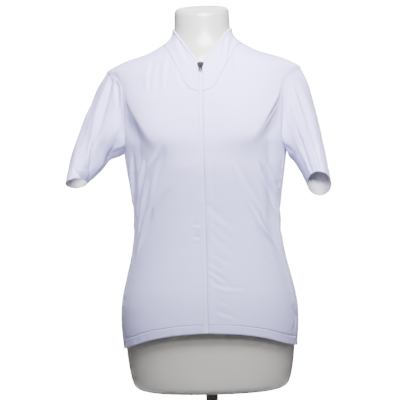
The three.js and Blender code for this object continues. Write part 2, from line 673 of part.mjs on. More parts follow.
function extruded(shape, depth) {
  return new THREE.ExtrudeGeometry(shape, { depth, bevelEnabled: false, curveSegments: 5 });
}

const wasm = await Module();
wasm.setup();
function solid(geometry) {
  const bare = geometry.clone();
  bare.deleteAttribute("normal");
  bare.deleteAttribute("uv");
  const merged = mergeVertices(bare, 1e-4);
  return new wasm.Manifold(new wasm.Mesh({
    numProp: 3,
    vertProperties: merged.attributes.position.array,
    triVerts: new Uint32Array(merged.index.array),
  }));
}
function geometryOf(made) {
  const mesh = made.getMesh();
  const geometry = new THREE.BufferGeometry();
  geometry.setAttribute("position", new THREE.BufferAttribute(mesh.vertProperties, 3));
  geometry.setIndex(new THREE.BufferAttribute(mesh.triVerts, 1));
  geometry.computeVertexNormals();
  return geometry;
}

const plate = extruded(plateOutline, PLATE.thickness).translate(0, 0, PLATE.back);
const eye = extruded(eyeOutline, 2 * EYE.half).translate(0, 0, -EYE.half);
eye.rotateX(Math.PI / 2).rotateZ(Math.PI / 2).translate(0, EYE.y, plateFace + EYE.height);
const zipFrame = onZip(SLIDER_HEIGHT);
add("zip_slider", geometryOf(solid(plate).add(solid(eye))), "gunmetal", zipFrame);

// Pull tab: a plate with a bar through the slider's eye, hanging down the zip from it
const TAB = { half: 3.2, footHalf: 3.6, foot: -11, thickness: 1.2, bar: 0.6, window: 2.9, windowHalf: 1.6 };
const SLOT = { top: -6, foot: -9, half: 1.1 };
const tabOutline = new THREE.Shape();
tabOutline.moveTo(-TAB.half, TAB.bar);
tabOutline.lineTo(-TAB.footHalf, TAB.foot + 2);
tabOutline.quadraticCurveTo(-TAB.footHalf, TAB.foot, 0, TAB.foot);
tabOutline.quadraticCurveTo(TAB.footHalf, TAB.foot, TAB.footHalf, TAB.foot + 2);
tabOutline.lineTo(TAB.half, TAB.bar);
tabOutline.lineTo(-TAB.half, TAB.bar);
const tabWindow = new THREE.Path();
tabWindow.moveTo(-TAB.windowHalf, -TAB.bar);
tabWindow.lineTo(TAB.windowHalf, -TAB.bar);
tabWindow.lineTo(TAB.windowHalf, -TAB.window);
tabWindow.lineTo(-TAB.windowHalf, -TAB.window);
tabWindow.lineTo(-TAB.windowHalf, -TAB.bar);
const tabSlot = new THREE.Path();
tabSlot.moveTo(-SLOT.half, SLOT.foot);
tabSlot.absarc(0, SLOT.top, SLOT.half, Math.PI, 0, true);
tabSlot.absarc(0, SLOT.foot, SLOT.half, 0, Math.PI, true);
tabOutline.holes.push(tabWindow, tabSlot);
const hinge = new THREE.Group();
hinge.position.set(0, EYE.y, plateFace + EYE.height);
zipFrame.add(hinge);
add("zip_pull", extruded(tabOutline, TAB.thickness).translate(0, 0, -TAB.thickness / 2), "gunmetal", hinge);

// Dress form
const FORM_COLUMNS = 28;
const slanted = (point, z) => {
  const share = THREE.MathUtils.smoothstep(z, CAP_SLANT_FROM, CAP_SLANT_FROM + 25);
  point.z += share * CAP_SLANT * point.y;
  return point;
};
const formRings = FORM.map(({ z }) =>
  Array.from({ length: FORM_COLUMNS }, (_, k) => slanted(bodyPoint(form, (k * 360) / FORM_COLUMNS, z), z)),
);
add("dress_form", capped(formRings), "form");

// Pole and base plate
const HUB = { inner: POLE_RADIUS + GAP, outer: 19, height: 15, bevel: 1.5 };
const poleFoot = BASE_THICKNESS + GAP;
const pole = new THREE.CylinderGeometry(POLE_RADIUS, POLE_RADIUS, FORM_FOOT - GAP - poleFoot, 24);
pole.rotateX(Math.PI / 2).translate(0, 0, (FORM_FOOT - GAP + poleFoot) / 2);
add("stand_pole", pole, "steel");

const EDGE = 2;
const baseProfile = [
  [0, 0],
  [BASE_RADIUS - EDGE, 0],
  [BASE_RADIUS, EDGE],
  [BASE_RADIUS, BASE_THICKNESS - EDGE],
  [BASE_RADIUS - EDGE, BASE_THICKNESS],
  [HUB.outer, BASE_THICKNESS],
  [HUB.outer, BASE_THICKNESS + HUB.height - HUB.bevel],
  [HUB.outer - HUB.bevel, BASE_THICKNESS + HUB.height],
  [HUB.inner, BASE_THICKNESS + HUB.height],
  [HUB.inner, BASE_THICKNESS],
  [0, BASE_THICKNESS],
].map(([radius, z]) => new THREE.Vector2(radius, z));
add("base_plate", new THREE.LatheGeometry(baseProfile, 48).rotateX(Math.PI / 2), "steel");

export default group;
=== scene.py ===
"""A short-sleeved cycling jersey with a full-length zip, on a limbless dress form.

The cloth is thin shells on the same curves as the solids under them. Round the body a place is
an angle (0 at the zip, 180 at the middle of the back) and a height. Lengths are in millimetres
until a mesh is made. -Y is the front and +X is the wearer's left.
"""

import math

import bmesh
import bpy
import numpy as np
from mathutils import Matrix, Vector
from mathutils.kdtree import KDTree


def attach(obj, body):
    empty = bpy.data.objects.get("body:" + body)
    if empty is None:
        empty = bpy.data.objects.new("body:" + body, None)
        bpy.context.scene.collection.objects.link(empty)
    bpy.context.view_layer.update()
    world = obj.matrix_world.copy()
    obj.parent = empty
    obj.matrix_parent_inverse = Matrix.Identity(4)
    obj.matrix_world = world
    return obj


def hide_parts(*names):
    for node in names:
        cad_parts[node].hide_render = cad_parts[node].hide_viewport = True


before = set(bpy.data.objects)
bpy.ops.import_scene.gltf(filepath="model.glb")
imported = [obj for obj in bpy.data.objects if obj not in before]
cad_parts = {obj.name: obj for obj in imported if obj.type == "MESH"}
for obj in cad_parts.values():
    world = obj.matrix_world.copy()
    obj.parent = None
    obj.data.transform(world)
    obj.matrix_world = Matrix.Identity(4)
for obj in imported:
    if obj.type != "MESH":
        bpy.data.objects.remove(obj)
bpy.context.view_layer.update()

MM = 0.001
BODY = "garment_on_stand"
PULL_BODY = "pull_tab"


# ---------------------------------------------------------------- sizes
def table(names, *rows):
    """Columns of numbers by name."""
    return dict(zip(names.split(), np.array(rows, float).T))


def each_row(columns):
    """The rows of a table, each as numbers by name."""
    return [dict(zip(columns, values)) for values in zip(*columns.values())]


CLOTH_WALL = 0.9
SEAM_GAP = 0.04
HEM_BAND = 16
BAND_PROUD = 0.5
BAND_WALL = 1.3
FORM_CLEARANCE = 0.5

HIP_ROW = 245
ARMHOLE_FOOT = 545
SHOULDER = 692
YOKE_ROW = 717
NECK_FRONT = 647
NECK_BEND = 668
NECK_TOP = 737.5
ZIP_TOP = 705
POCKET_TOP = 329
POCKET_STAND = 1.8
SIDE_FRONT = 74
SIDE_BACK = 106
ZIP_GAP_HALF = 3
TAPE_WIDTH = 11
TAPE_FACE = -1.7
SLIDER_HEIGHT = 697
BOX_HEIGHT = 207
BASE_RADIUS = 140
BASE_THICKNESS = 9
POLE_RADIUS = 11.7
FORM_FOOT = 85.5
FORM_TOP = 808
CAP_SLANT = 0.208
CAP_SLANT_FROM = 770
BLEND_LENGTH = 0.5
SLEEVE_RADIUS = 58
SLEEVE_LENGTH = 200

BUST = {"angle": 37, "height": 570, "spread": 23, "above": 58, "below": 34, "jersey": 15, "form": 13}

# The jersey round the body, then the dress form under it
JERSEY = table("z half front back power",
    (150, 163, 127, 125, 2.25),
    (185, 166.8, 128.5, 129, 2.25),
    (215, 168.8, 129, 131, 2.25),
    (240, 168.3, 128, 131, 2.25),
    (265, 164.8, 126, 128.5, 2.25),
    (300, 156.3, 120, 120, 2.25),
    (340, 146.8, 113.5, 108.5, 2.25),
    (380, 141, 110, 100, 2.25),
    (410, 139.8, 109.8, 97.5, 2.25),
    (445, 142.2, 112, 98.5, 2.25),
    (485, 147.5, 116.5, 104, 2.25),
    (515, 151.8, 119.5, 108, 2.25),
    (550, 156, 119.5, 111.5, 2.25),
    (590, 161.3, 115, 113, 2.25),
    (630, 168, 107, 111, 2.2),
    (660, 175.5, 98.5, 105.5, 1.95),
    (680, 181.5, 91.5, 100, 1.72),
    (691, 183.8, 87.3, 96.5, 1.58),
    (699, 175, 84, 92.5, 1.52),
    (708, 155.5, 80, 87.5, 1.52),
    (717, 128.5, 76, 82.5, 1.56),
    (726, 102.5, 71.5, 76.5, 1.66),
    (735, 85, 67.5, 70.5, 1.8),
    (744, 71.5, 64.2, 65, 1.95),
    (752, 62.5, 62, 60.8, 2.05),
    (762, 57.5, 60, 57.8, 2.1),
    (776, 55.3, 58, 55.5, 2.1),
)
FORM = table("z half front back power",
    (85.5, 128, 96, 94, 2.25),
    (88, 137, 103, 102, 2.25),
    (92, 143.5, 108, 108, 2.25),
    (98, 148, 110.5, 111.5, 2.25),
    (110, 152, 112, 114, 2.25),
    (132, 156.3, 113, 117, 2.25),
    (160, 159.5, 114, 120.5, 2.25),
    (200, 162, 114.5, 124.5, 2.25),
    (235, 162.3, 113.5, 125, 2.25),
    (265, 158.5, 111, 121.5, 2.25),
    (300, 149.5, 107, 113, 2.25),
    (340, 139, 101, 101, 2.25),
    (380, 130.5, 96, 91.5, 2.25),
    (410, 128, 95, 88.5, 2.25),
    (445, 131, 98, 90, 2.25),
    (485, 138.5, 104, 96.5, 2.25),
    (515, 144, 108, 102, 2.25),
    (550, 149.5, 109.5, 106.5, 2.25),
    (590, 156, 107, 108, 2.25),
    (630, 163, 100, 106, 2.2),
    (660, 171, 91.5, 100.5, 1.93),
    (675, 176.5, 86.5, 97, 1.76),
    (687, 179, 82.5, 92.5, 1.6),
    (692.5, 176.5, 80.5, 90.5, 1.55),
    (697.5, 170.5, 79, 88, 1.52),
    (706, 153.5, 76, 84, 1.52),
    (714.8, 128.5, 72, 79, 1.56),
    (723.6, 102.5, 66.5, 73, 1.66),
    (732, 85, 61.5, 66.5, 1.8),
    (740, 71.5, 57.8, 60.5, 1.95),
    (748, 61, 55.3, 56.3, 2.05),
    (758, 55, 53.3, 53.2, 2.1),
    (772, 52.8, 52, 51, 2.1),
    (800, 51.7, 51, 48, 2.1),
    (805.5, 50, 49.2, 46.3, 2.1),
    (808, 46.5, 45.7, 42.8, 2.1),
)
# Edges of the pieces
HEM = table("angle z",
    (0, 203),
    (17, 199.5),
    (30, 194),
    (42, 187),
    (55, 178.5),
    (70, 171),
    (90, 165),
    (120, 158),
    (150, 154.5),
    (180, 153),
)
ARMHOLE = table("z front back",
    (545, 74, 106),
    (557, 67.5, 112.5),
    (575, 65, 115),
    (600, 63.3, 116.7),
    (628, 61, 118),
    (652, 59.2, 118.5),
    (668, 61, 116.5),
    (678, 66.5, 111.5),
    (685, 74, 104.5),
    (690, 83, 96.5),
    (692, 90, 90),
)
UNDERARM = table("angle z",
    (74, 545),
    (82, 538.5),
    (90, 536.5),
    (98, 538.5),
    (106, 545),
)
NECKLINE = table("z seam top_x top_z",
    (647, 3, 3, 706),
    (652, 17, 8, 710),
    (660, 26.5, 12, 714.5),
    (668, 31.5, 16, 719),
    (678, 36.5, 20.5, 725),
    (690, 42.5, 25.5, 731.5),
    (700, 48, 29.5, 737),
    (708, 52.5, 33.5, 742.5),
    (717, 57.5, 39, 749.5),
    (725, 61.5, 44, 756),
    (732, 66, 49, 762),
    (737.5, 72, 53, 766.5),
)
NECK_BEHIND = table("angle z",
    (90, 738),
    (115, 743),
    (145, 747.5),
    (180, 749),
)
COLLAR_BEHIND = table("angle z",
    (90, 769.5),
    (130, 773),
    (180, 775),
)
# Broad folds that the solids have too
FOLDS = table("angle z to_angle to_z width depth",
    (-58, 535, -66, 395, 15, 3),
    (50, 540, 64, 385, 16, 3.5),
    (58, 400, 72, 270, 18, 3),
    (133, 560, 122, 420, 18, 3),
    (-130, 570, -120, 410, 20, 3),
)
SLEEVES = {
    "sleeve_left": {
        "edges": table("at out_x out_z in_x in_z front back tip",
            (0, 184, 691, 155, 536.5, 57, 57, 0),
            (0.18, 198.5, 660, 158.5, 523, 60, 60, 0.03),
            (0.4, 210.5, 614, 166, 514.5, 60, 61, 0.1),
            (0.6, 219.5, 571, 174.5, 501.5, 59, 60, 0.18),
            (0.8, 228.5, 523, 183.5, 487, 58, 59, 0.28),
            (1, 237, 469, 191.5, 471, 57, 57, 0.42),
        ),
        "troughs": table("turn at to_turn end width depth",
            (2.0, 0.05, 1.35, 0.98, 20, 5),
            (1.3, 0.12, 0.75, 0.75, 16, 4),
            (4.3, 0.08, 4.9, 0.92, 20, 5),
        ),
    },
    "sleeve_right": {
        "edges": table("at out_x out_z in_x in_z front back tip",
            (0, 184, 691, 155, 536.5, 57, 57, 0),
            (0.18, 202, 663, 165.5, 531, 60, 60, 0.02),
            (0.4, 221, 624, 182, 525.5, 60, 61, 0.06),
            (0.6, 238, 582, 198, 507.5, 59, 60, 0.1),
            (0.8, 254.5, 536, 214.5, 494, 58, 59, 0.14),
            (1, 268, 479, 229, 486, 56, 57, 0.17),
        ),
        "troughs": table("turn at to_turn end width depth",
            (2.2, 0.04, 1.5, 0.98, 20, 5),
            (1.0, 0.25, 0.8, 0.85, 16, 4),
            (4.2, 0.1, 4.8, 0.95, 20, 5),
        ),
    },
}

# Creases by the view that they are placed in: start, middle and end, then half width, depth, and
# the ridge along one side as a share of the depth
CREASE_COLUMNS = "a z mid_a mid_z end_a end_z width depth ridge"
CREASES = {
    "front": table(CREASE_COLUMNS,
        (-171, 686, -187, 622, -223, 484, 5.3, 7.3, 0.5),
        (-206, 566, -212, 538, -218, 508, 2.6, 3.4, 0.5),
        (-166, 690, -160, 660, -158, 624, 3.9, 3.6, 0.5),
        (-154, 586, -172, 548, -214, 488, 4.6, 6.2, 0.5),
        (-163, 560, -178, 536, -192, 510, 2.6, 2.5, 0.5),
        (-149, 549, -160, 541, -174, 535, 5, 6, 0.3),
        (152, 545, 157, 538, 166, 530, 4, 4.0, 0.3),
        (-245, 512, -238, 501, -227, 488, 2.9, 2.9, 0.6),
        (-205, 640, -224, 588, -240, 530, 7.2, 2.7, 0.4),
        (176, 650, 196, 590, 220, 494, 4.6, 6.2, 0.5),
        (165, 610, 177, 562, 200, 494, 3.9, 5.6, 0.5),
        (218, 566, 219, 540, 221, 512, 2.6, 2.5, 0.5),
        (196, 640, 214, 585, 230, 520, 5.9, 2.7, 0.4),
        (-153, 662, -128, 612, -97, 566, 14, -4.8, 0.8),
        (-140, 628, -124, 574, -118, 502, 18, 5.0, 0.2),
        (-149, 668, -143, 640, -139, 608, 5, 2.2, 0.5),
        (97, 564, 126, 608, 149, 655, 13, -4.6, 0.85),
        (140, 620, 128, 574, 124, 506, 16, 4.4, 0.2),
        (147, 646, 136, 616, 118, 590, 4, 2.4, 0.7),
        (142, 612, 134, 594, 120, 574, 3.5, 1.8, 0.7),
        (-59, 718, -61, 692, -65, 658, 4, 2.4, 0.8),
        (-92, 708, -94, 684, -97, 652, 4, 2.2, 0.8),
        (-76, 700, -79, 676, -84, 640, 5, 1.6, 0.7),
        (-40, 700, -36, 680, -28, 650, 4, 1.4, 0.7),
        (62, 722, 64, 704, 66, 680, 4, 1.8, 0.7),
        (-83, 524, -103, 477, -125, 392, 4.8, 6.2, 0.8),
        (-107, 520, -116, 472, -127, 420, 4, 5.6, 0.8),
        (-97, 430, -110, 394, -127, 352, 4, 4.6, 0.8),
        (-70, 544, -80, 508, -94, 462, 6.4, 4.6, 0.6),
        (-131, 530, -134, 492, -137, 446, 4, 4.6, 0.6),
        (-60, 470, -84, 430, -112, 384, 6.4, 2, 0.5),
        (105, 512, 117, 477, 135, 420, 4, 5.4, 0.8),
        (117, 518, 136, 467, 142, 421, 4, 5.4, 0.8),
        (86, 446, 110, 399, 139, 343, 4, 5.2, 0.8),
        (102, 424, 114, 394, 134, 353, 3.2, 4.1, 0.8),
        (92, 396, 108, 360, 132, 312, 4, 2.6, 0.7),
        (62, 515, 96, 452, 126, 392, 5.6, 2.4, 0.5),
        (8, 330, 19, 325, 32, 316, 2.6, 1.2, 0.8),
        (6, 318, 18, 312, 36, 300, 2.6, 1.2, 0.8),
        (16, 312, 30, 301, 44, 292, 2.8, 1.4, 0.8),
        (14, 300, 32, 289, 70, 284, 3.4, 1.7, 0.8),
        (5, 441, 30, 417, 56, 396, 5, 0.9, 0.5),
        (12, 388, 30, 368, 54, 346, 4, 0.9, 0.5),
        (12, 410, 28, 394, 50, 374, 4, 0.6, 0.5),
        (14, 350, 28, 340, 44, 330, 3, 0.9, 0.6),
        (19, 243, 33, 239, 50, 231, 3, 1.3, 0.7),
        (22, 262, 34, 258, 46, 250, 2.6, 0.8, 0.7),
        (-22, 403, -14, 402, -5, 401, 2.2, 1.4, 0.7),
        (-22, 379, -14, 379, -5, 378, 2.2, 1.5, 0.7),
        (157, 240, 164, 221, 157, 200, 5, 3.2, 0.5),
        (120, 478, 126, 430, 136, 376, 12, 3.4, 0.2),
        (-44, 752, -34, 730, -20, 702, 4, 2.2, 0.6),
        (58, 752, 55, 728, 50, 700, 3, 2.4, 0.7),
        (46, 748, 43, 728, 40, 708, 3, 1.8, 0.6),
    ),
    "back": table(CREASE_COLUMNS,
        (-172, 680, -195, 620, -230, 500, 11, 4.6, 0.5),
        (-158, 602, -178, 553, -207, 505, 8, 3.4, 0.5),
        (176, 652, 195, 586, 215, 486, 10, 4.0, 0.5),
        (165, 606, 178, 552, 193, 496, 8, 3.0, 0.5),
        (-147, 642, -126, 602, -98, 580, 11, 2.4, 0.4),
        (147, 634, 128, 592, 96, 572, 12, 2.5, 0.4),
        (142, 600, 126, 574, 108, 560, 5, 1.3, 0.6),
        (-62, 452, 0, 438, 66, 453, 8, 2.2, 0.5),
        (-46, 420, 12, 409, 74, 424, 7, 1.7, 0.5),
        (-92, 398, -50, 386, -8, 392, 7, 1.3, 0.5),
        (-118, 522, -112, 470, -96, 424, 8, 2.0, 0.5),
        (117, 514, 110, 466, 90, 428, 8, 2.1, 0.5),
        (-30, 702, -36, 674, -40, 648, 6, 1.2, 0.6),
        (64, 692, 67, 668, 64, 638, 6, 1.3, 0.6),
        (-88, 700, -92, 676, -90, 650, 6, 1.1, 0.6),
        (-66, 562, -60, 520, -68, 478, 9, 1.5, 0.5),
        (42, 578, 47, 536, 38, 498, 9, 1.4, 0.5),
        (-120, 372, -112, 350, -88, 336, 7, 1.4, 0.5),
        (122, 378, 110, 352, 84, 338, 7, 1.6, 0.5),
        (-96, 292, -92, 250, -98, 206, 7, 1.2, 0.5),
        (12, 300, 16, 262, 8, 214, 7, 1.0, 0.5),
        (92, 296, 98, 250, 94, 202, 7, 1.3, 0.5),
    ),
    "left": table(CREASE_COLUMNS,
        (-22, 664, -8, 604, -14, 540, 9, 2.2, 0.5),
        (26, 640, 24, 584, 38, 520, 8, 2.4, 0.5),
        (-44, 560, -36, 525, -40, 496, 7, 1.8, 0.5),
        (-42, 452, -8, 428, 36, 420, 8, 1.8, 0.5),
        (-38, 400, 4, 384, 40, 392, 7, 1.4, 0.5),
        (30, 360, 22, 320, 28, 262, 8, 1.5, 0.5),
    ),
    "right": table(CREASE_COLUMNS,
        (-18, 668, -4, 620, -10, 556, 9, 2.2, 0.5),
        (30, 646, 28, 590, 42, 530, 8, 2.2, 0.5),
        (-42, 548, -34, 522, -36, 500, 7, 1.6, 0.5),
        (-40, 446, 0, 430, 40, 440, 8, 1.7, 0.5),
        (-30, 396, 8, 378, 44, 380, 7, 1.5, 0.5),
        (-20, 340, -26, 300, -16, 250, 8, 1.4, 0.5),
    ),
}
CREASE_STEP = 1.5
CREASE_REACH = 3.2
TROUGH_POWER = 1.3
RIDGE_ASIDE = 1.75

# The cut of what shows of each piece, laid flat: width and length in metres, and the area
CUT = {
    "front_left": (0.205, 0.67, 0.0918),
    "front_right": (0.205, 0.67, 0.0918),
    "back": (0.43, 0.68, 0.209),
    "side_left": (0.083, 0.37, 0.027),
    "side_right": (0.083, 0.37, 0.027),
    "sleeve_left": (0.452, 0.235, 0.0482),
    "sleeve_right": (0.452, 0.232, 0.0531),
    "collar": (0.558, 0.075, 0.0173),
    "hem_band": (0.945, 0.0162, 0.0153),
    "rear_pocket": (0.383, 0.161, 0.0598),
}


# ---------------------------------------------------------------- curves of the body
def curve(rows, x_name, y_name):
    """A smooth curve through a table's rows that never overshoots between them."""
    xs, ys = rows[x_name], rows[y_name]
    rise = np.diff(ys) / np.diff(xs)
    slopes = np.concatenate([rise[:1], np.zeros(len(xs) - 2), rise[-1:]])
    same = rise[:-1] * rise[1:] > 0
    slopes[1:-1][same] = (2 * rise[:-1] * rise[1:])[same] / (rise[:-1] + rise[1:])[same]

    def at(x):
        x = np.asarray(x, float)
        i = np.clip(np.searchsorted(xs, x) - 1, 0, len(xs) - 2)
        span = xs[i + 1] - xs[i]
        t = np.clip((x - xs[i]) / span, 0, 1)
        level = (1 + 2 * t) * (1 - t) ** 2 * ys[i] + t * t * (3 - 2 * t) * ys[i + 1]
        return level + span * (t * (1 - t) ** 2 * slopes[i] + t * t * (t - 1) * slopes[i + 1])

    return at


def section_body(rows, bust, folds):
    body = {name: curve(rows, "z", name) for name in ("half", "front", "back", "power")}
    return {**body, "bust": bust, "folds": folds}


jersey = section_body(JERSEY, BUST["jersey"], FOLDS)
form = section_body(FORM, BUST["form"], None)
hem_at = curve(HEM, "angle", "z")
armhole_front = curve(ARMHOLE, "z", "front")
armhole_back = curve(ARMHOLE, "z", "back")
underarm_at = curve(UNDERARM, "angle", "z")
neck_seam_at = curve(NECKLINE, "z", "seam")
collar_edge_x = curve(NECKLINE, "z", "top_x")
collar_edge_z = curve(NECKLINE, "z", "top_z")
neck_behind_at = curve(NECK_BEHIND, "angle", "z")
collar_behind_at = curve(COLLAR_BEHIND, "angle", "z")


def half_turn(angle):
    return (np.asarray(angle, float) + 540) % 360 - 180


def signed_power(value, power):
    return np.sign(value) * np.abs(value) ** power


def unit(vectors):
    return vectors / np.maximum(np.linalg.norm(vectors, axis=-1, keepdims=True), 1e-9)


def smooth(x, low, high):
    t = np.clip((x - low) / (high - low), 0, 1)
    return t * t * (3 - 2 * t)


def bust_swell(angle, z, height):
    across = (np.abs(angle) - BUST["angle"]) / BUST["spread"]
    up = (z - BUST["height"]) / np.where(z > BUST["height"], BUST["above"], BUST["below"])
    return height * np.exp(-across * across - up * up)


def fold_depth(folds, angle, z, half):
    depth = np.zeros_like(z)
    for fold in each_row(folds) if folds else []:
        along = np.clip((z - fold["z"]) / (fold["to_z"] - fold["z"]), 0, 1)
        middle = fold["angle"] + (fold["to_angle"] - fold["angle"]) * along
        aside = np.radians(half_turn(angle - middle)) * half / fold["width"]
        past = np.maximum(0, np.maximum(z - fold["z"], fold["to_z"] - z)) / fold["width"]
        taper = np.sin(np.pi * (0.15 + 0.7 * along))
        depth += fold["depth"] * taper * np.exp(-aside * aside - past * past)
    return depth


def body_point(body, angle, z):
    """Points of the body at angles round it and heights."""
    angle, z = np.broadcast_arrays(half_turn(angle), np.asarray(z, float))
    turn = np.radians(angle)
    power = 2 / body["power"](z)
    half = body["half"](z)
    forward = np.cos(turn)
    swell = bust_swell(angle, z, body["bust"])
    depth = np.where(forward > 0, body["front"](z) + swell, body["back"](z))
    inward = 1 - fold_depth(body["folds"], angle, z, half) / half
    x = half * signed_power(np.sin(turn), power) * inward
    y = -depth * signed_power(forward, power) * inward
    return np.stack([x, y, z], -1)


TURN_STEP, HEIGHT_STEP = 0.2, 0.4


def body_normal(body, angle, z):
    around = body_point(body, angle + TURN_STEP, z) - body_point(body, angle - TURN_STEP, z)
    up = body_point(body, angle, z + HEIGHT_STEP) - body_point(body, angle, z - HEIGHT_STEP)
    return unit(np.cross(around, up))


def cloth_point(angle, z, out=0.0):
    return body_point(jersey, angle, z) + body_normal(jersey, angle, z) * out


def angle_aside(x, z):
    """The angle at which the jersey is a given distance to the side of the zip."""
    share = np.minimum(1, np.abs(x) / jersey["half"](z)) ** (jersey["power"](z) / 2)
    return np.sign(x) * np.degrees(np.arcsin(share))


def shift_angle(angle, z, distance):
    step = np.linalg.norm(
        body_point(jersey, angle + 0.5, z) - body_point(jersey, angle - 0.5, z), axis=-1
    )
    return angle + distance / step


def panel_foot(angle):
    return hem_at(np.abs(half_turn(angle))) + HEM_BAND + SEAM_GAP


# ---------------------------------------------------------------- grids of the cloth
CLOTH_STEP = 2.6
RIDGE_FROM, RIDGE_TO = SHOULDER - 8, SHOULDER + 3
ROWS = np.unique(np.concatenate([
    np.arange(HIP_ROW, RIDGE_FROM, CLOTH_STEP),
    np.arange(RIDGE_FROM, RIDGE_TO, 1.0),
    np.arange(RIDGE_TO, NECK_TOP, CLOTH_STEP),
    [NECK_FRONT, ARMHOLE_FOOT, YOKE_ROW, NECK_TOP],
]))
LOW_ROWS = 14
UV_RADIUS = 150
cloth = {}


def add_cloth(name, points, outward, places=None, closed=False, wall=CLOTH_WALL, uv=None):
    """Keeps a piece's grid of points, its outward normals, and where it lies round the body."""
    cloth[name] = {
        "points": points, "normals": grid_normals(points, outward, closed), "places": places,
        "closed": closed, "wall": wall, "uv": uv,
    }


def grid_normals(points, outward, closed=False):
    """Normals of a grid of points, on the side that outward points to."""
    across = np.roll(points, -1, 1) - np.roll(points, 1, 1)
    if not closed:
        across[:, 0] = points[:, 1] - points[:, 0]
        across[:, -1] = points[:, -1] - points[:, -2]
    normals = unit(np.cross(across, np.gradient(points, axis=0)))
    return normals * np.where((normals * outward).sum(-1, keepdims=True) < 0, -1, 1)


def run_along(points, axis):
    """Distance along the grid's lines in one direction, from their first point."""
    steps = np.linalg.norm(np.diff(points, axis=axis), axis=-1)
    start = np.zeros_like(steps.take([0], axis))
    return np.concatenate([start, steps.cumsum(axis)], axis)


def between(edges, columns):
    left, right = edges
    return left[:, None] + (right - left)[:, None] * np.linspace(0, 1, columns + 1)


def panel_places(edges_at, rows, columns):
    """Angles and heights of a panel; the rows below the hips follow the hem."""
    rows = np.asarray(rows, float)
    angles = between(edges_at(rows), columns)
    heights = np.repeat(rows[:, None], columns + 1, 1)
    low_angles = between(edges_at(np.array([float(HIP_ROW)])), columns)
    foot = panel_foot(low_angles)
    steps = np.linspace(0, 1, LOW_ROWS, endpoint=False)[:, None]
    low = foot + (HIP_ROW - foot) * steps
    return np.vstack([np.repeat(low_angles, LOW_ROWS, 0), angles]), np.vstack([low, heights])


def add_panel(name, angles, heights, out=0.0, **options):
    normals = body_normal(jersey, angles, heights)
    points = body_point(jersey, angles, heights) + normals * np.asarray(out)[..., None]
    uv = np.stack([np.radians(angles) * UV_RADIUS, heights], -1)
    add_cloth(name, points, normals, places=(angles, heights), uv=uv, **options)


def front_edges(z):
    neck = shift_angle(angle_aside(neck_seam_at(z), z), z, SEAM_GAP / 2)
    inner = np.maximum(angle_aside(ZIP_GAP_HALF, z), np.where(z > NECK_FRONT, neck, 0))
    outer = np.where(z < SHOULDER, armhole_front(z), 90)
    return inner, shift_angle(np.where(z < ARMHOLE_FOOT, SIDE_FRONT, outer), z, -SEAM_GAP / 2)


def back_edges(z):
    edge = np.where(z < SHOULDER, armhole_back(z), 90)
    edge = shift_angle(np.where(z < ARMHOLE_FOOT, SIDE_BACK, edge), z, SEAM_GAP / 2)
    return edge, 360 - edge


def side_edges(z):
    first = shift_angle(np.full_like(z, SIDE_FRONT), z, SEAM_GAP / 2)
    return first, shift_angle(np.full_like(z, SIDE_BACK), z, -SEAM_GAP / 2)


SIDES = {"left": 1, "right": -1}
FRONT_COLUMNS, BACK_COLUMNS, SIDE_COLUMNS = 84, 170, 30
for side_name, side in SIDES.items():
    angles, heights = panel_places(front_edges, ROWS, FRONT_COLUMNS)
    add_panel("front_" + side_name, side * angles, heights)

angles, heights = panel_places(back_edges, ROWS[ROWS <= YOKE_ROW], BACK_COLUMNS)
yoke_angles = np.repeat(between(back_edges(np.array([float(YOKE_ROW)])), BACK_COLUMNS), 11, 0)
neck_line = neck_behind_at(np.abs(half_turn(yoke_angles)))
yoke_heights = YOKE_ROW + (neck_line - YOKE_ROW) * np.linspace(0, 1, 12)[1:, None]
add_panel("back", np.vstack([angles, yoke_angles]), np.vstack([heights, yoke_heights]))

for side_name, side in SIDES.items():
    angles, heights = panel_places(side_edges, ROWS[ROWS <= ARMHOLE_FOOT], SIDE_COLUMNS)
    top = underarm_at(angles) - SEAM_GAP / 2
    lowered = heights + (top - ARMHOLE_FOOT) * smooth(heights, 500, ARMHOLE_FOOT)
    add_panel("side_" + side_name, side * angles, lowered)

HEM_COLUMNS, HEM_ROWS = 400, 9
hem_start = angle_aside(ZIP_GAP_HALF, 210)
hem_angles = np.repeat(np.linspace(hem_start, 360 - hem_start, HEM_COLUMNS)[None], HEM_ROWS, 0)
hem_share = np.linspace(0, 1, HEM_ROWS)[:, None]
hem_heights = hem_at(np.abs(half_turn(hem_angles))) + HEM_BAND * hem_share
band_out = np.full(hem_angles.shape, BAND_PROUD)
add_panel("hem_band", hem_angles, hem_heights, out=band_out, wall=BAND_WALL)

COLLAR_ROWS = 22
neck_rows = np.unique(np.concatenate([
    np.linspace(NECK_FRONT, NECK_BEND, 22), np.linspace(NECK_BEND, NECK_TOP, 34),
]))
back_turn = np.linspace(90, 180, 40)
foot = np.array(
    [(angle_aside(neck_seam_at(z), z), z) for z in neck_rows]
    + [(angle, neck_behind_at(angle)) for angle in back_turn]
)
edge_z = collar_edge_z(neck_rows)
edge = np.array(
    [(angle_aside(x, z), z) for x, z in zip(collar_edge_x(neck_rows), edge_z)]
    + [(angle, collar_behind_at(angle)) for angle in back_turn]
)
foot[:, 1] += SEAM_GAP
share = np.linspace(0, 1, COLLAR_ROWS)[:, None]
half_angles = foot[:, 0] + (edge[:, 0] - foot[:, 0]) * share
half_heights = foot[:, 1] + (edge[:, 1] - foot[:, 1]) * share
add_panel(
    "collar",
    np.hstack([half_angles, 360 - half_angles[:, -2::-1]]),
    np.hstack([half_heights, half_heights[:, -2::-1]]),
)


# ---------------------------------------------------------------- sleeves
LOOP_HALF = 84
RINGS = 92


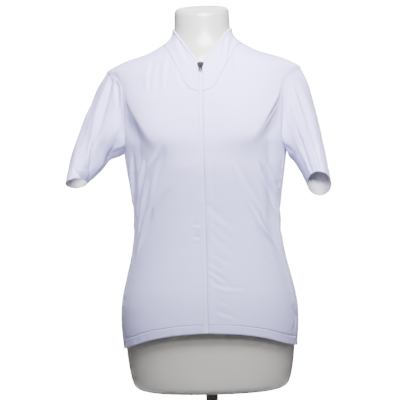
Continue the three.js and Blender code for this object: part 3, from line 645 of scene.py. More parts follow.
def armhole_loop(side):
    """The armhole's edge from under the arm up the front and down the back, evenly spaced."""
    under = np.linspace(90, SIDE_FRONT, 12)
    up = ARMHOLE_FOOT + (SHOULDER - ARMHOLE_FOOT) * (1 - np.linspace(1, 0, 200) ** 2)[1:]
    halves = []
    for flip, edge_at in ((False, armhole_front), (True, armhole_back)):
        angles = np.concatenate([180 - under if flip else under, edge_at(up)])
        heights = np.concatenate([underarm_at(under), up])
        points = cloth_point(side * angles, heights)
        run = run_along(points, 0)
        even = np.linspace(0, run[-1], LOOP_HALF + 1)
        halves.append((np.interp(even, run, angles), np.interp(even, run, heights)))
    (front_angles, front_z), (back_angles, back_z) = halves
    angles = side * np.concatenate([front_angles, back_angles[-2:0:-1]])
    heights = np.concatenate([front_z, back_z[-2:0:-1]])
    points, normals = cloth_point(angles, heights), body_normal(jersey, angles, heights)
    off = unit(np.cross(np.roll(points, -1, 0) - np.roll(points, 1, 0), normals))
    off *= np.sign((off * (points.mean(0) - points)).sum(-1, keepdims=True))
    turn = np.linspace(0, 1, LOOP_HALF + 1)
    turn = np.concatenate([turn, np.linspace(1, 2, LOOP_HALF + 1)[1:-1]])
    return points + off * SEAM_GAP, turn * np.pi


def sleeve_section(edges, side, at, turn):
    """Ovals between a sleeve's outer and under edge, tipped towards the cuff."""
    value = {name: curve(edges, "at", name)(at)[:, None] for name in edges if name != "at"}
    share = (1 - np.cos(turn)) / 2
    x = value["in_x"] + (value["out_x"] - value["in_x"]) * share
    z = value["in_z"] + (value["out_z"] - value["in_z"]) * share
    lift = np.sin(turn)
    y = -lift * np.where(lift > 0, value["front"], value["back"])
    return np.stack([side * x, y, z - value["tip"] * y], -1)


def trough_depth(troughs, at, turn):
    depth = np.zeros(np.broadcast_shapes(at.shape, turn.shape))
    for fold in each_row(troughs):
        along = np.clip((at - fold["at"]) / (fold["end"] - fold["at"]), 0, 1)
        middle = fold["turn"] + (fold["to_turn"] - fold["turn"]) * along
        aside = (turn - middle) * SLEEVE_RADIUS / fold["width"]
        past = np.maximum(0, np.maximum(fold["at"] - at, at - fold["end"]))
        past = past * SLEEVE_LENGTH / fold["width"]
        taper = np.sin(np.pi * (0.12 + 0.76 * along))
        depth += fold["depth"] * taper * np.exp(-aside * aside - past * past)
    return depth


for side_name, side in SIDES.items():
    spec = SLEEVES["sleeve_" + side_name]
    loop, turn = armhole_loop(side)
    at = np.linspace(0, 1, RINGS)
    sections = sleeve_section(spec["edges"], side, at, turn)
    held = 1 - smooth(at, 0, BLEND_LENGTH)
    rings = sections + (loop - sections[0]) * held[:, None, None]
    away = rings - rings.mean(1, keepdims=True)
    eased = smooth(at, 0, 0.06)[:, None]
    depth = trough_depth(spec["troughs"], at[:, None], turn[None]) * eased
    points = rings - grid_normals(rings, away, True) * depth[..., None]
    uv = np.stack(np.broadcast_arrays(turn * SLEEVE_RADIUS, -at[:, None] * SLEEVE_LENGTH), -1)
    add_cloth("sleeve_" + side_name, points, away, closed=True, uv=uv)

POCKET_INSET, POCKET_GAP, POCKET_COLUMNS = 9, 0.4, 150


def pocket_edges(z):
    first, last = back_edges(z)
    return shift_angle(first, z, POCKET_INSET), shift_angle(last, z, -POCKET_INSET)


angles, heights = panel_places(pocket_edges, ROWS[ROWS <= POCKET_TOP], POCKET_COLUMNS)
pocket_foot = panel_foot(angles)
pocket_share = (heights - pocket_foot) / (POCKET_TOP - pocket_foot)
pocket_out = POCKET_GAP + CLOTH_WALL + POCKET_STAND * pocket_share**2
add_panel("rear_pocket", angles, heights, out=pocket_out)


# ---------------------------------------------------------------- relief of the cloth
SEAM_RISE, SEAM_HALF = 0.3, 3.0
GROOVE_DEPTH, GROOVE_HALF = 0.55, 0.9
PUCKER_SHORT, PUCKER_LONG, PUCKER_WAVES, PUCKER_FADE = 14, 34, 5, 11


def seam_relief(distance):
    """A flat-sewn seam: a low band with a fine groove down its middle."""
    band = SEAM_RISE * np.exp(-((distance / SEAM_HALF) ** 4))
    return band - GROOVE_DEPTH * np.exp(-((distance / GROOVE_HALF) ** 2))


def pucker(run, distance, strength, seed):
    """Small uneven ripples along a seam, fading away from it."""
    rng = np.random.default_rng(seed)
    waves = rng.uniform([PUCKER_SHORT, 0], [PUCKER_LONG, 2 * np.pi], (PUCKER_WAVES, 2))
    ripple = sum(np.sin(2 * np.pi * run / length + phase) for length, phase in waves) / 2.2
    return strength * ripple * np.exp(-((distance / PUCKER_FADE) ** 2))


def evened(values, reach=3):
    """A moving mean that keeps the ends."""
    padded = np.concatenate([[values[0]] * reach, values, [values[-1]] * reach])
    return np.convolve(padded, np.full(2 * reach + 1, 1 / (2 * reach + 1)), "valid")


CREASE_FACINGS = {"front": (0, 1, -1), "back": (0, 1, 1), "left": (1, 0, 1), "right": (1, 0, -1)}
LEAST_FACING = 0.2
NEAREST_POINTS = 8
LAYER_DEPTH = 12


def crease_path(row):
    """A crease's bent line in the plane of its view."""
    start, middle, end = (np.array([row[p + "a"], row[p + "z"]]) for p in ("", "mid_", "end_"))
    count = max(8, int(np.linalg.norm(end - start) / CREASE_STEP))
    t = np.linspace(0, 1, count)[:, None]
    bend = 2 * middle - (start + end) / 2
    return (1 - t) ** 2 * start + 2 * t * (1 - t) * bend + t * t * end


def crease_lines():
    """Each crease as a line on the cloth, found from the view that it is placed by."""
    points = np.concatenate([c["points"].reshape(-1, 3) for c in cloth.values()])
    normals = np.concatenate([c["normals"].reshape(-1, 3) for c in cloth.values()])
    lines = []
    for view, rows in CREASES.items():
        plane_axis, depth_axis, sign = CREASE_FACINGS[view]
        tree = KDTree(len(points))
        for k in np.flatnonzero(normals[:, depth_axis] * sign > LEAST_FACING):
            tree.insert((points[k, plane_axis], 0, points[k, 2]), int(k))
        tree.balance()
        for row in each_row(rows):
            path = crease_path(row)
            line, facing = np.zeros((2, len(path), 3))
            for i, (a, z) in enumerate(path):
                near = [(hit[1], hit[2]) for hit in tree.find_n((a, 0, z), NEAREST_POINTS)]
                depths = {j: points[j, depth_axis] * sign for j, _ in near}
                layer = max(depths.values()) - LAYER_DEPTH
                near = [(j, d) for j, d in near if depths[j] > layer]
                share = np.array([1 / (d + 1) ** 2 for _, d in near])
                found = [j for j, _ in near]
                line[i] = share @ points[found] / share.sum()
                facing[i] = share @ normals[found] / share.sum()
                line[i, plane_axis], line[i, 2] = a, z
            line[:, depth_axis] = evened(line[:, depth_axis])
            facing = unit(np.stack([evened(column) for column in facing.T], -1))
            run = np.gradient(line, axis=0)
            lines.append((line, unit(run), unit(np.cross(run, facing)), row))
    return lines


def crease_relief(points, lines):
    """How far the creases move each point out (ridges) or in (troughs)."""
    total = np.zeros(len(points))
    for line, run, side, row in lines:
        reach = CREASE_REACH * row["width"]
        near = np.all((points > line.min(0) - reach) & (points < line.max(0) + reach), axis=1)
        if not near.any():
            continue
        p, last = points[near], len(line) - 1
        k = np.linalg.norm(p[:, None] - line[None], axis=2).argmin(1)
        offset = p - line[k]
        across = (offset * side[k]).sum(1)
        along = (offset * run[k]).sum(1)
        past = np.where((k == 0) | (k == last), along, 0)
        off = np.maximum((offset**2).sum(1) - across**2 - along**2, 0)
        width = row["width"] * (0.75 + 0.5 * np.sin(np.pi * k / last))
        taper = np.sin(np.pi * (0.07 + 0.86 * k / last)) ** 0.8
        trough = -np.exp(-(np.abs(across / width) ** TROUGH_POWER))
        ridge = row["ridge"] * np.exp(-(((across - RIDGE_ASIDE * width) / width) ** 2))
        fade = np.exp(-(past / row["width"]) ** 2 - off / row["width"] ** 2)
        total[near] += row["depth"] * taper * fade * (trough + ridge)
    return total


def room_inside(piece):
    """How far a piece may move in before it meets the form."""
    if piece["places"] is None:
        return np.full(piece["points"].shape[:2], np.inf)
    angles, heights = piece["places"]
    under = body_point(form, angles, heights)
    room = ((piece["points"] - under) * piece["normals"]).sum(-1)
    return np.maximum(room - piece["wall"] - FORM_CLEARANCE, 0)


ARMHOLE_EASE, SLEEVE_EASE, PUCKER_EASE = 10, 9, 6
ZIP_EDGE_ROLL, ZIP_EDGE_HALF = 0.6, 0.9
HEM_FOLD, HEM_FOLD_STEP = 21, 0.45
FOLD_GROOVE, FOLD_GROOVE_HALF = 0.3, 0.8
SLEEVE_PITCH, HEM_PITCH = 2.6, 2.3
COLLAR_SEAM, COLLAR_SEAM_GAIN, COLLAR_SEAM_FROM, COLLAR_SPAN = 0.1, 0.9, 672, 22
POCKET_BELLY, POCKET_PINCH, POCKET_SPAN, POCKET_RISE = 2.6, 0.4, 380, 60
PLACKET = {"front_left": (12.5, 0.6), "front_right": (9.0, 0.35)}
lines = crease_lines()
for name, piece in cloth.items():
    points = piece["points"]
    relief = crease_relief(points.reshape(-1, 3), lines).reshape(points.shape[:2])
    first, height = run_along(points, 1), points[..., 2]
    last = first[:, -1:] - first
    edge = last if name.startswith("front") else np.minimum(first, last)
    column = np.arange(points.shape[1])[None]
    share = np.linspace(0, 1, len(points))[:, None]
    if name.startswith(("front", "back")):
        relief *= np.where(height > ARMHOLE_FOOT, smooth(edge, 0, ARMHOLE_EASE), 1)
    if name.startswith("front"):
        width, rise = PLACKET[name]
        relief += rise * (1 - smooth(first, width - 1.5, width + 1.0)) * (height < NECK_FRONT)
        relief -= ZIP_EDGE_ROLL * np.exp(-((first / ZIP_EDGE_HALF) ** 2))
        ripple = pucker(height, edge, 0.35, 12)
        relief += pucker(height, first, 0.25, 11) + seam_relief(edge) + ripple
    elif name in ("back", "side_left", "side_right"):
        relief += seam_relief(edge) + pucker(height, edge, 0.35, 13)
    elif name.startswith("sleeve"):
        down = run_along(points, 0)
        left = down[-1:] - down
        relief *= smooth(down, 0, SLEEVE_EASE)
        ripple = pucker(column * SLEEVE_PITCH, down, 0.4, 14)
        relief += seam_relief(down) + ripple * smooth(down, 0, PUCKER_EASE)
        relief += HEM_FOLD_STEP * (1 - smooth(left, HEM_FOLD - 1, HEM_FOLD + 0.5))
        relief -= FOLD_GROOVE * np.exp(-(((left - HEM_FOLD) / FOLD_GROOVE_HALF) ** 2))
    elif name == "hem_band":
        ripple = pucker(column * HEM_PITCH, share * 12, 0.3, 17)
        relief = 0.6 * relief + 0.15 * np.sin(np.pi * share) - 0.45 + ripple
    elif name == "collar":
        seen = COLLAR_SEAM + COLLAR_SEAM_GAIN * smooth(height, COLLAR_SEAM_FROM, ZIP_TOP)
        relief += seen * seam_relief(share * COLLAR_SPAN)
    elif name == "rear_pocket":
        around = np.linspace(0, 1, points.shape[1])[None]
        belly = np.abs(np.sin(3 * np.pi * around)) ** 0.6
        bulge = POCKET_BELLY * belly * np.sin(np.pi * share**0.8)
        relief = 0.5 * relief + bulge - POCKET_PINCH * (1 - belly)
        relief += pucker(around * POCKET_SPAN, (1 - share) * POCKET_RISE, 0.7, 15)
    relief = np.maximum(relief, -room_inside(piece))
    piece["points"] = points + piece["normals"] * relief[..., None]
    piece["normals"] = grid_normals(piece["points"], piece["normals"], piece["closed"])


# ---------------------------------------------------------------- mesh makers
def link_object(name, data):
    made = bpy.data.objects.new(name, data)
    bpy.context.scene.collection.objects.link(made)
    return made


def mesh_object(name, vertices, faces, material, uv=None, smooth_shading=True):
    mesh = bpy.data.meshes.new(name)
    mesh.from_pydata((np.asarray(vertices, float) * MM).tolist(), [], faces)
    mesh.polygons.foreach_set("use_smooth", [smooth_shading] * len(mesh.polygons))
    if uv is not None:
        layer = mesh.uv_layers.new(name="UVMap")
        corners = np.zeros(len(mesh.loops), np.int32)
        mesh.loops.foreach_get("vertex_index", corners)
        layer.data.foreach_set("uv", (np.asarray(uv, float)[corners] * MM).ravel())
    mesh.materials.append(material)
    return link_object(name, mesh)


def oriented(vertices, faces):
    """Faces turned so that the closed mesh encloses a positive volume."""
    corners = np.array([[f[0], f[1], f[2]] for f in faces])
    a, b, c = (np.asarray(vertices)[corners[:, k]] for k in range(3))
    volume = (a * np.cross(b, c)).sum()
    return faces if volume > 0 else [tuple(reversed(f)) for f in faces]


def strip_faces(rows, columns, closed, start=0, flip=False):
    across = np.arange(columns if closed else columns - 1)
    r, c = np.meshgrid(np.arange(rows - 1), across, indexing="ij")
    a = start + r * columns + c
    b = start + r * columns + (c + 1) % columns
    quads = np.stack([a, b, b + columns, a + columns], -1).reshape(-1, 4)
    return (quads[:, ::-1] if flip else quads).tolist()


def shell(name, piece, material, painted_lighter_inside=None):
    """A thin closed wall from a piece's grid, its inner face one wall further in; a second material, if
    given, goes on the inner face as a copy of the knit painted lighter.
    """
    outer, closed = piece["points"], piece["closed"]
    inner = outer - piece["normals"] * piece["wall"]
    rows, columns = outer.shape[:2]
    count = rows * columns
    face = strip_faces(rows, columns, closed)
    faces = face + strip_faces(rows, columns, closed, count, True)
    index = np.arange(count).reshape(rows, columns)
    if closed:
        index = np.hstack([index, index[:, :1]])
    rims = [(index[0], True), (index[-1], False)]
    if not closed:
        rims += [(index[:, 0], False), (index[:, -1], True)]
    for rim, flip in rims:
        quads = np.stack([rim[:-1], rim[1:], rim[1:] + count, rim[:-1] + count], -1)
        faces += (quads[:, ::-1] if flip else quads).tolist()
    vertices = np.concatenate([outer.reshape(-1, 3), inner.reshape(-1, 3)])
    uv = np.concatenate([piece["uv"].reshape(-1, 2)] * 2)
    made = mesh_object(name, vertices, oriented(vertices, faces), material, uv)
    # the inner face takes the painted lighter copy of the knit
    if painted_lighter_inside:
        made.data.materials.append(painted_lighter_inside)
        for polygon in made.data.polygons[len(face) : 2 * len(face)]:
            polygon.material_index = 1
    return made


def tube(rings):
    """A closed tube through rings of points, its two ends flat."""
    rows, columns = rings.shape[:2]
    faces = strip_faces(rows, columns, True)
    faces += [tuple(range(columns))[::-1], tuple(range((rows - 1) * columns, rows * columns))]
    vertices = rings.reshape(-1, 3)
    return vertices, oriented(vertices, faces)


def capped(rings, low, high):
    """A closed solid through rings of points, its ends drawn in to two more points."""
    rows, columns = rings.shape[:2]
    vertices = np.concatenate([rings.reshape(-1, 3), [low], [high]])
    faces = strip_faces(rows, columns, True)
    first, top = rows * columns, (rows - 1) * columns
    faces += [((c + 1) % columns, c, first) for c in range(columns)]
    faces += [(top + c, top + (c + 1) % columns, first + 1) for c in range(columns)]
    return vertices, oriented(vertices, faces)


def lathe(profile, segments):
    """A closed solid turned about the pole's axis from (radius, height) corners."""
    turn = np.linspace(0, 2 * np.pi, segments, endpoint=False)
    ring = np.stack([np.cos(turn), np.sin(turn)], -1)
    body = [(r, z) for r, z in profile if r > 0]
    rings = np.array([np.column_stack([ring * r, np.full(segments, z)]) for r, z in body])
    return capped(rings, (0, 0, profile[0][1]), (0, 0, profile[-1][1]))


def finish_piece(piece, slot, *nodes, body=BODY):
    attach(piece, body)
    if nodes:
        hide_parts(*nodes)
    return piece


# ---------------------------------------------------------------- node helpers
def feed(tree, socket, value):
    if isinstance(value, bpy.types.NodeSocket):
        tree.links.new(value, socket)
    else:
        socket.default_value = value


def node(tree, kind, settings=None, **inputs):
    made = tree.nodes.new(kind)
    for name, value in (settings or {}).items():
        setattr(made, name, value)
    for name, value in inputs.items():
        feed(tree, made.inputs[name.replace("_", " ")], value)
    return made


def calc(tree, operation, *values):
    made = tree.nodes.new("ShaderNodeMath")
    made.operation = operation
    for socket, value in zip(made.inputs, values):
        feed(tree, socket, value)
    return made.outputs[0]


def group_tree(name, kind, inputs, outputs):
    """An empty node group with named inputs and outputs."""
    tree = bpy.data.node_groups.new(name, kind)
    sockets = {}
    for label, socket_kind, value in inputs:
        socket = tree.interface.new_socket(
            label, in_out="INPUT", socket_type="NodeSocket" + socket_kind
        )
        if value is not None:
            socket.default_value = value
        sockets[label] = socket.identifier
    for label, socket_kind in outputs:
        tree.interface.new_socket(label, in_out="OUTPUT", socket_type="NodeSocket" + socket_kind)
    return tree, tree.nodes.new("NodeGroupInput"), tree.nodes.new("NodeGroupOutput"), sockets


# ---------------------------------------------------------------- shared effects
def knit_group():
    """Loops of a fine knit: ribs along the wale, bent across each course."""
    tree, start, end, _ = group_tree(
        "Knit loops", "ShaderNodeTree",
        [("Vector", "Vector", None), ("Wale", "Float", 0.0012), ("Course", "Float", 0.0009)],
        [("Height", "Float")],
    )
    place = node(tree, "ShaderNodeSeparateXYZ", Vector=start.outputs["Vector"])
    wale = calc(tree, "DIVIDE", place.outputs["X"], start.outputs["Wale"])
    course = calc(tree, "DIVIDE", place.outputs["Y"], start.outputs["Course"])
    rib = calc(tree, "ABSOLUTE", calc(tree, "SINE", calc(tree, "MULTIPLY", wale, math.pi)))
    lean = calc(tree, "MULTIPLY", rib, 2.2)
    loop = calc(tree, "SINE", calc(tree, "ADD", calc(tree, "MULTIPLY", course, 2 * math.pi), lean))
    height = calc(tree, "MULTIPLY_ADD", loop, 0.25, calc(tree, "MULTIPLY", rib, 0.6))
    tree.links.new(height, end.inputs["Height"])
    return tree


def drift_group():
    """A colour that drifts a little in lightness over the surface."""
    tree, start, end, _ = group_tree(
        "Tone drift", "ShaderNodeTree",
        [
            ("Vector", "Vector", None), ("Color", "Color", None), ("Scale", "Float", 20.0),
            ("Amount", "Float", 0.04),
        ],
        [("Color", "Color")],
    )
    noise = node(tree, "ShaderNodeTexNoise", Vector=start.outputs["Vector"],
                 Scale=start.outputs["Scale"], Detail=3.0, Roughness=0.55)
    centred = calc(tree, "SUBTRACT", noise.outputs["Fac"], 0.5)
    value = calc(tree, "MULTIPLY_ADD", centred, start.outputs["Amount"], 1.0)
    tinted = node(tree, "ShaderNodeHueSaturation", Color=start.outputs["Color"], Value=value)
    tree.links.new(tinted.outputs["Color"], end.inputs["Color"])
    return tree


def grain_group():
    """Fine grain of moulded or painted surfaces, with a slower swell under it."""
    tree, start, end, _ = group_tree(
        "Fine grain", "ShaderNodeTree",
        [("Vector", "Vector", None), ("Scale", "Float", 900.0), ("Swell", "Float", 0.3)],
        [("Height", "Float")],
    )
    place = start.outputs["Vector"]
    fine = node(tree, "ShaderNodeTexNoise", Vector=place, Scale=start.outputs["Scale"], Detail=2.0)
    slow = node(tree, "ShaderNodeTexNoise", Vector=place, Scale=14.0, Detail=1.0)
    swell = start.outputs["Swell"]
    height = calc(tree, "MULTIPLY_ADD", slow.outputs["Fac"], swell, fine.outputs["Fac"])
    tree.links.new(height, end.inputs["Height"])
    return tree


KNIT, DRIFT, GRAIN = knit_group(), drift_group(), grain_group()


def principled(name, **constants):
    material = bpy.data.materials.new(name)
    material.use_nodes = True
    tree = material.node_tree
    shader = tree.nodes["Principled BSDF"]
    for label, value in constants.items():
        shader.inputs[label.replace("_", " ")].default_value = value
    return material, tree, shader


def surface(name, color, tone_scale, drift, **constants):
    """A shader with a drifting colour, and the coordinates for its relief."""
    material, tree, shader = principled(name, **constants)
    place = tree.nodes.new("ShaderNodeTexCoord")
    tone = node(tree, "ShaderNodeGroup", {"node_tree": DRIFT}, Vector=place.outputs["Object"],
                Color=(*color, 1), Scale=tone_scale, Amount=drift)
    tree.links.new(tone.outputs["Color"], shader.inputs["Base Color"])
    return material, tree, shader, place


def raise_relief(tree, shader, height, strength, depth):
    bump = node(tree, "ShaderNodeBump", Strength=strength, Distance=depth, Height=height)
    tree.links.new(bump.outputs["Normal"], shader.inputs["Normal"])


def cloth_material(name, color, wale, course, depth, sheen=0.25, crinkle=0.0):
    """Knitted or woven cloth on the piece's own UV map."""
    material, tree, shader, place = surface(
        name, color, 16.0, 0.03, Roughness=0.82, Sheen_Weight=sheen, Sheen_Roughness=0.4
    )
    knit = node(tree, "ShaderNodeGroup", {"node_tree": KNIT}, Vector=place.outputs["UV"],
                Wale=wale, Course=course)
    height = knit.outputs["Height"]
    if crinkle:
        fine = node(tree, "ShaderNodeTexNoise", Vector=place.outputs["Object"], Scale=150.0, Detail=2.0)
        height = calc(tree, "MULTIPLY_ADD", fine.outputs["Fac"], crinkle, height)
    raise_relief(tree, shader, height, 0.5, depth)
    return material


def hard_material(name, color, metallic, roughness, grain, swell=0.3, coat=0.0, drift=0.03, shine=0.5):
    """Moulded plastic, painted or bare metal."""
    material, tree, shader, place = surface(
        name, color, 9.0, drift, Metallic=metallic, Roughness=roughness,
        Specular_IOR_Level=shine, Coat_Weight=coat, Coat_Roughness=0.12,
    )
    fine = node(tree, "ShaderNodeGroup", {"node_tree": GRAIN}, Vector=place.outputs["Object"],
                Scale=grain, Swell=swell)
    raise_relief(tree, shader, fine.outputs["Height"], 0.4, 0.00003)
    return material


JERSEY_CLOTH = cloth_material(
    "Jersey knit", (0.515, 0.501, 0.88), 0.0012, 0.0009, 0.00012, crinkle=0.5
)
# The sleeves' inner face is the same knit painted lighter and greyer: painted light standing in for the
# light seen inside the cuffs.
SLEEVE_INSIDE_PAINTED_LIGHTER = cloth_material(
    "Sleeve knit, inner face painted lighter", (0.7, 0.69, 0.79), 0.0012, 0.0009, 0.0001
)
PANEL_MESH = cloth_material("Side panel mesh knit", (0.505, 0.491, 0.86), 0.0018, 0.0018, 0.0002)
GRIPPER = cloth_material("Gripper elastic", (0.505, 0.491, 0.86), 0.0028, 0.0007, 0.0003)
BINDING = cloth_material("Binding tape", (0.62, 0.607, 0.88), 0.0008, 0.0006, 0.0001)
# The zip tape and coil are painted lighter than the jersey: painted light that offsets the shade of the
# channel they sit in behind the panel edges. The moulded box at the zip's foot takes the coil's colour.
ZIP_TAPE_PAINTED_LIGHTER = cloth_material("Zip tape weave, painted lighter", (0.595, 0.582, 0.91), 0.0006, 0.0009, 0.0001, sheen=0.1)
THREAD = hard_material("Polyester thread", (0.60, 0.587, 0.88), 0.0, 0.55, 2500.0)
ZIP_PLASTIC_PAINTED_LIGHTER = hard_material("Nylon coil, painted lighter", (0.64, 0.63, 0.91), 0.0, 0.38, 1800.0)
SLIDER_METAL = hard_material(
    "Matt grey enamel", (0.012, 0.012, 0.0125), 0.0, 0.6, 2200.0, drift=0.12, shine=0.12
)
FORM_SHELL = hard_material(
    "Gloss off-white shell", (0.42, 0.413, 0.405), 0.0, 0.3, 260.0, swell=3.0, coat=0.2
)
STAND_STEEL = hard_material(
    "Dark satin steel", (0.075, 0.073, 0.072), 0.7, 0.36, 1400.0, drift=0.1
)


# ---------------------------------------------------------------- cloth pieces
PIECE_CLOTH = {"side_left": PANEL_MESH, "side_right": PANEL_MESH, "hem_band": GRIPPER}
sewn = {}
for name, piece in cloth.items():
    # sleeves get the inner face painted lighter
    painted_lighter_inside = SLEEVE_INSIDE_PAINTED_LIGHTER if name.startswith("sleeve") else None
    made = shell("cloth_" + name, piece, PIECE_CLOTH.get(name, JERSEY_CLOTH), painted_lighter_inside)
    finish_piece(made, "cloth", name)
    sewn[name] = made

# The tapes step up over the coil behind them and all but meet down the middle
ZIP_ROWS = np.arange(hem_at(0) + 0.5, ZIP_TOP, 4.0)
ZIP_FACE, ZIP_FACE_HALF, ZIP_FACE_EDGE = -0.4, 2.5, 0.9
TAPE_SHEET = 0.35
TAPE_REACH = np.array([0.1, 0.25, 0.6, 1.4, 2.1, 2.5, 2.9, 3.4, 5.5, 8.0, TAPE_WIDTH])
for side_name, side in SIDES.items():
    reach = TAPE_REACH if side > 0 else -TAPE_REACH[::-1]
    heights = np.repeat(ZIP_ROWS[:, None], len(reach), 1)
    angles = angle_aside(reach[None], heights)
    normals = body_normal(jersey, angles, heights)
    step = smooth(np.abs(reach), ZIP_FACE_HALF, ZIP_FACE_HALF + ZIP_FACE_EDGE)
    out = ZIP_FACE + (TAPE_FACE - ZIP_FACE) * step - 0.2 * np.exp(-((reach / 0.25) ** 2))
    points = body_point(jersey, angles, heights) + normals * out[None, :, None]
    tape = {
        "points": points, "normals": grid_normals(points, normals), "wall": TAPE_SHEET,
        "closed": False, "uv": np.stack([np.broadcast_to(reach, heights.shape), heights], -1),
    }
    made = shell("tape_" + side_name, tape, ZIP_TAPE_PAINTED_LIGHTER)
    finish_piece(made, "zip", "zip_tape_" + side_name)


# ---------------------------------------------------------------- repeats along a line
def run_tree():
    """Sets one small element after another along a line, upright on the surface."""
    tree, start, end, sockets = group_tree(
        "Run of elements", "GeometryNodeTree",
        [
            ("Geometry", "Geometry", None), ("Element", "Object", None),
            ("Pitch", "Float", 0.0025), ("Slant", "Float", 0.0), ("Alternate Turn", "Float", 0.0),
            ("Lift", "Float", 0.0), ("Material", "Material", None),
        ],
        [("Geometry", "Geometry")],
    )
    tree.is_modifier = True
    line = node(tree, "GeometryNodeMeshToCurve", Mesh=start.outputs["Geometry"])
    even = node(tree, "GeometryNodeResampleCurve", {"mode": "LENGTH"}, Curve=line.outputs["Curve"],
                Length=start.outputs["Pitch"])
    outward = node(tree, "GeometryNodeInputNamedAttribute", {"data_type": "FLOAT_VECTOR"},
                   Name="outward")
    raised = node(tree, "ShaderNodeVectorMath", {"operation": "SCALE"}, Scale=start.outputs["Lift"])
    tree.links.new(outward.outputs["Attribute"], raised.inputs[0])
    lifted = node(tree, "GeometryNodeSetPosition", Geometry=even.outputs["Curve"],
                  Offset=raised.outputs["Vector"])
    tangent = tree.nodes.new("GeometryNodeInputTangent")
    along = node(tree, "FunctionNodeAlignRotationToVector", {"axis": "X"},
                 Vector=tangent.outputs["Tangent"])
    upright = node(tree, "FunctionNodeAlignRotationToVector", {"axis": "Z", "pivot_axis": "X"},
                   Rotation=along.outputs["Rotation"], Vector=outward.outputs["Attribute"])
    odd = calc(tree, "MODULO", tree.nodes.new("GeometryNodeInputIndex").outputs["Index"], 2.0)
    sign = calc(tree, "MULTIPLY_ADD", odd, -2.0, 1.0)
    slant = calc(tree, "MULTIPLY", sign, start.outputs["Slant"])
    angle = calc(tree, "MULTIPLY_ADD", odd, start.outputs["Alternate Turn"], slant)
    twist = node(tree, "FunctionNodeAxisAngleToRotation", Axis=(0, 0, 1), Angle=angle)
    turned = node(tree, "FunctionNodeRotateRotation", {"rotation_space": "LOCAL"},
                  Rotation=upright.outputs["Rotation"], Rotate_By=twist.outputs["Rotation"])
    element = node(tree, "GeometryNodeObjectInfo", {"transform_space": "ORIGINAL"},
                   Object=start.outputs["Element"])
    placed = node(tree, "GeometryNodeInstanceOnPoints", Points=lifted.outputs["Geometry"],
                  Instance=element.outputs["Geometry"], Rotation=turned.outputs["Rotation"])
    solid = node(tree, "GeometryNodeRealizeInstances", Geometry=placed.outputs["Instances"])
    coloured = node(tree, "GeometryNodeSetMaterial", Geometry=solid.outputs["Geometry"],
                    Material=start.outputs["Material"])
    tree.links.new(coloured.outputs["Geometry"], end.inputs["Geometry"])
    return tree, sockets


RUN_TREE, RUN_SOCKETS = run_tree()


def run_of(name, paths, element, material, **values):
    """A plain mesh of elements set along lines of (points, outward normals)."""
    mesh = bpy.data.meshes.new(name + "_line")
    vertices, edges, outward = [], [], []
    for points, normals in paths:
        base = len(vertices)
        vertices += (points * MM).tolist()
        outward += normals.tolist()
        edges += [(base + k, base + k + 1) for k in range(len(points) - 1)]
    mesh.from_pydata(vertices, edges, [])
    layer = mesh.attributes.new("outward", "FLOAT_VECTOR", "POINT")
    layer.data.foreach_set("vector", np.array(outward).ravel())
    line = link_object(name + "_line", mesh)
    modifier = line.modifiers.new("Run", "NODES")
    modifier.node_group = RUN_TREE
    modifier[RUN_SOCKETS["Element"]] = element
    modifier[RUN_SOCKETS["Material"]] = material
    for label, value in values.items():
        modifier[RUN_SOCKETS[label.replace("_", " ")]] = value
    depsgraph = bpy.context.evaluated_depsgraph_get()
    depsgraph.update()
    made = bpy.data.meshes.new_from_object(line.evaluated_get(depsgraph), depsgraph=depsgraph)
    made.name = name
    made.polygons.foreach_set("use_smooth", [True] * len(made.polygons))
    if not made.materials:
        made.materials.append(material)
    bpy.data.objects.remove(line)
    return link_object(name, made)


def wire_element(name, path, radius, sides=6, ends=0.45):
    """A short thread or wire along a path, its ends drawn in."""
    path = np.array(path, float)
    run = unit(np.gradient(path, axis=0))
    up = np.array([0.0, 0.0, 1.0])
    side = unit(np.cross(run, up))
    lift = np.cross(side, run)
    turn = np.linspace(0, 2 * np.pi, sides, endpoint=False)
    size = np.full(len(path), radius)
    size[0] = size[-1] = radius * ends
    rings = path[:, None] + size[:, None, None] * (
        side[:, None] * np.cos(turn)[None, :, None] + lift[:, None] * np.sin(turn)[None, :, None]
    )
    return mesh_object(name, *tube(rings), THREAD)


def thread_element(name, length, thickness):
    half = length / 2
    path = [
        (-half, 0, -0.05), (-half * 0.7, 0, 0.04), (0, 0, 0.08), (half * 0.7, 0, 0.04),
        (half, 0, -0.05),
    ]
    return wire_element(name, path, thickness / 2)


def inset_line(name, distance, end=0, low=0, high=1e9, crosswise=False):
    """A line that keeps one distance from the first or last column of a piece."""
    points, normals = cloth[name]["points"], cloth[name]["normals"]
    if crosswise:
        points, normals = points.swapaxes(0, 1), normals.swapaxes(0, 1)
    if end:
        points, normals = points[:, ::-1], normals[:, ::-1]
    run = run_along(points, 1)
    kept = [r for r in range(len(points)) if low <= points[r, 0, 2] <= high]
    found, facing = (
        np.array([[np.interp(distance, run[r], grid[r, :, k]) for k in range(3)] for r in kept])
        for grid in (points, normals)
    )
    if crosswise and cloth[name]["closed"]:
        found, facing = np.vstack([found, found[:1]]), np.vstack([facing, facing[:1]])
    return found, unit(facing)


def cross_line(name, distance, end=0):
    """A line that keeps one distance from the first or last row of a piece."""
    return inset_line(name, distance, end, crosswise=True)


def share_line(name, share):
    """A line up a piece at a share of its width."""
    points, normals = cloth[name]["points"], cloth[name]["normals"]
    column = int(round(share * (points.shape[1] - 1)))
    return points[:, column], normals[:, column]


STITCH_PITCH, STITCH_LIFT = 0.0026, 0.0001
ZIGZAG_PITCH, ZIGZAG_LIFT, ZIGZAG_SLANT = 0.0018, 0.0004, 1.05
SEAM_ROW = 1.9
lock_stitch = thread_element("lock_stitch", 2.2, 0.42)
zigzag_stitch = thread_element("zigzag_stitch", 3.6, 0.36)

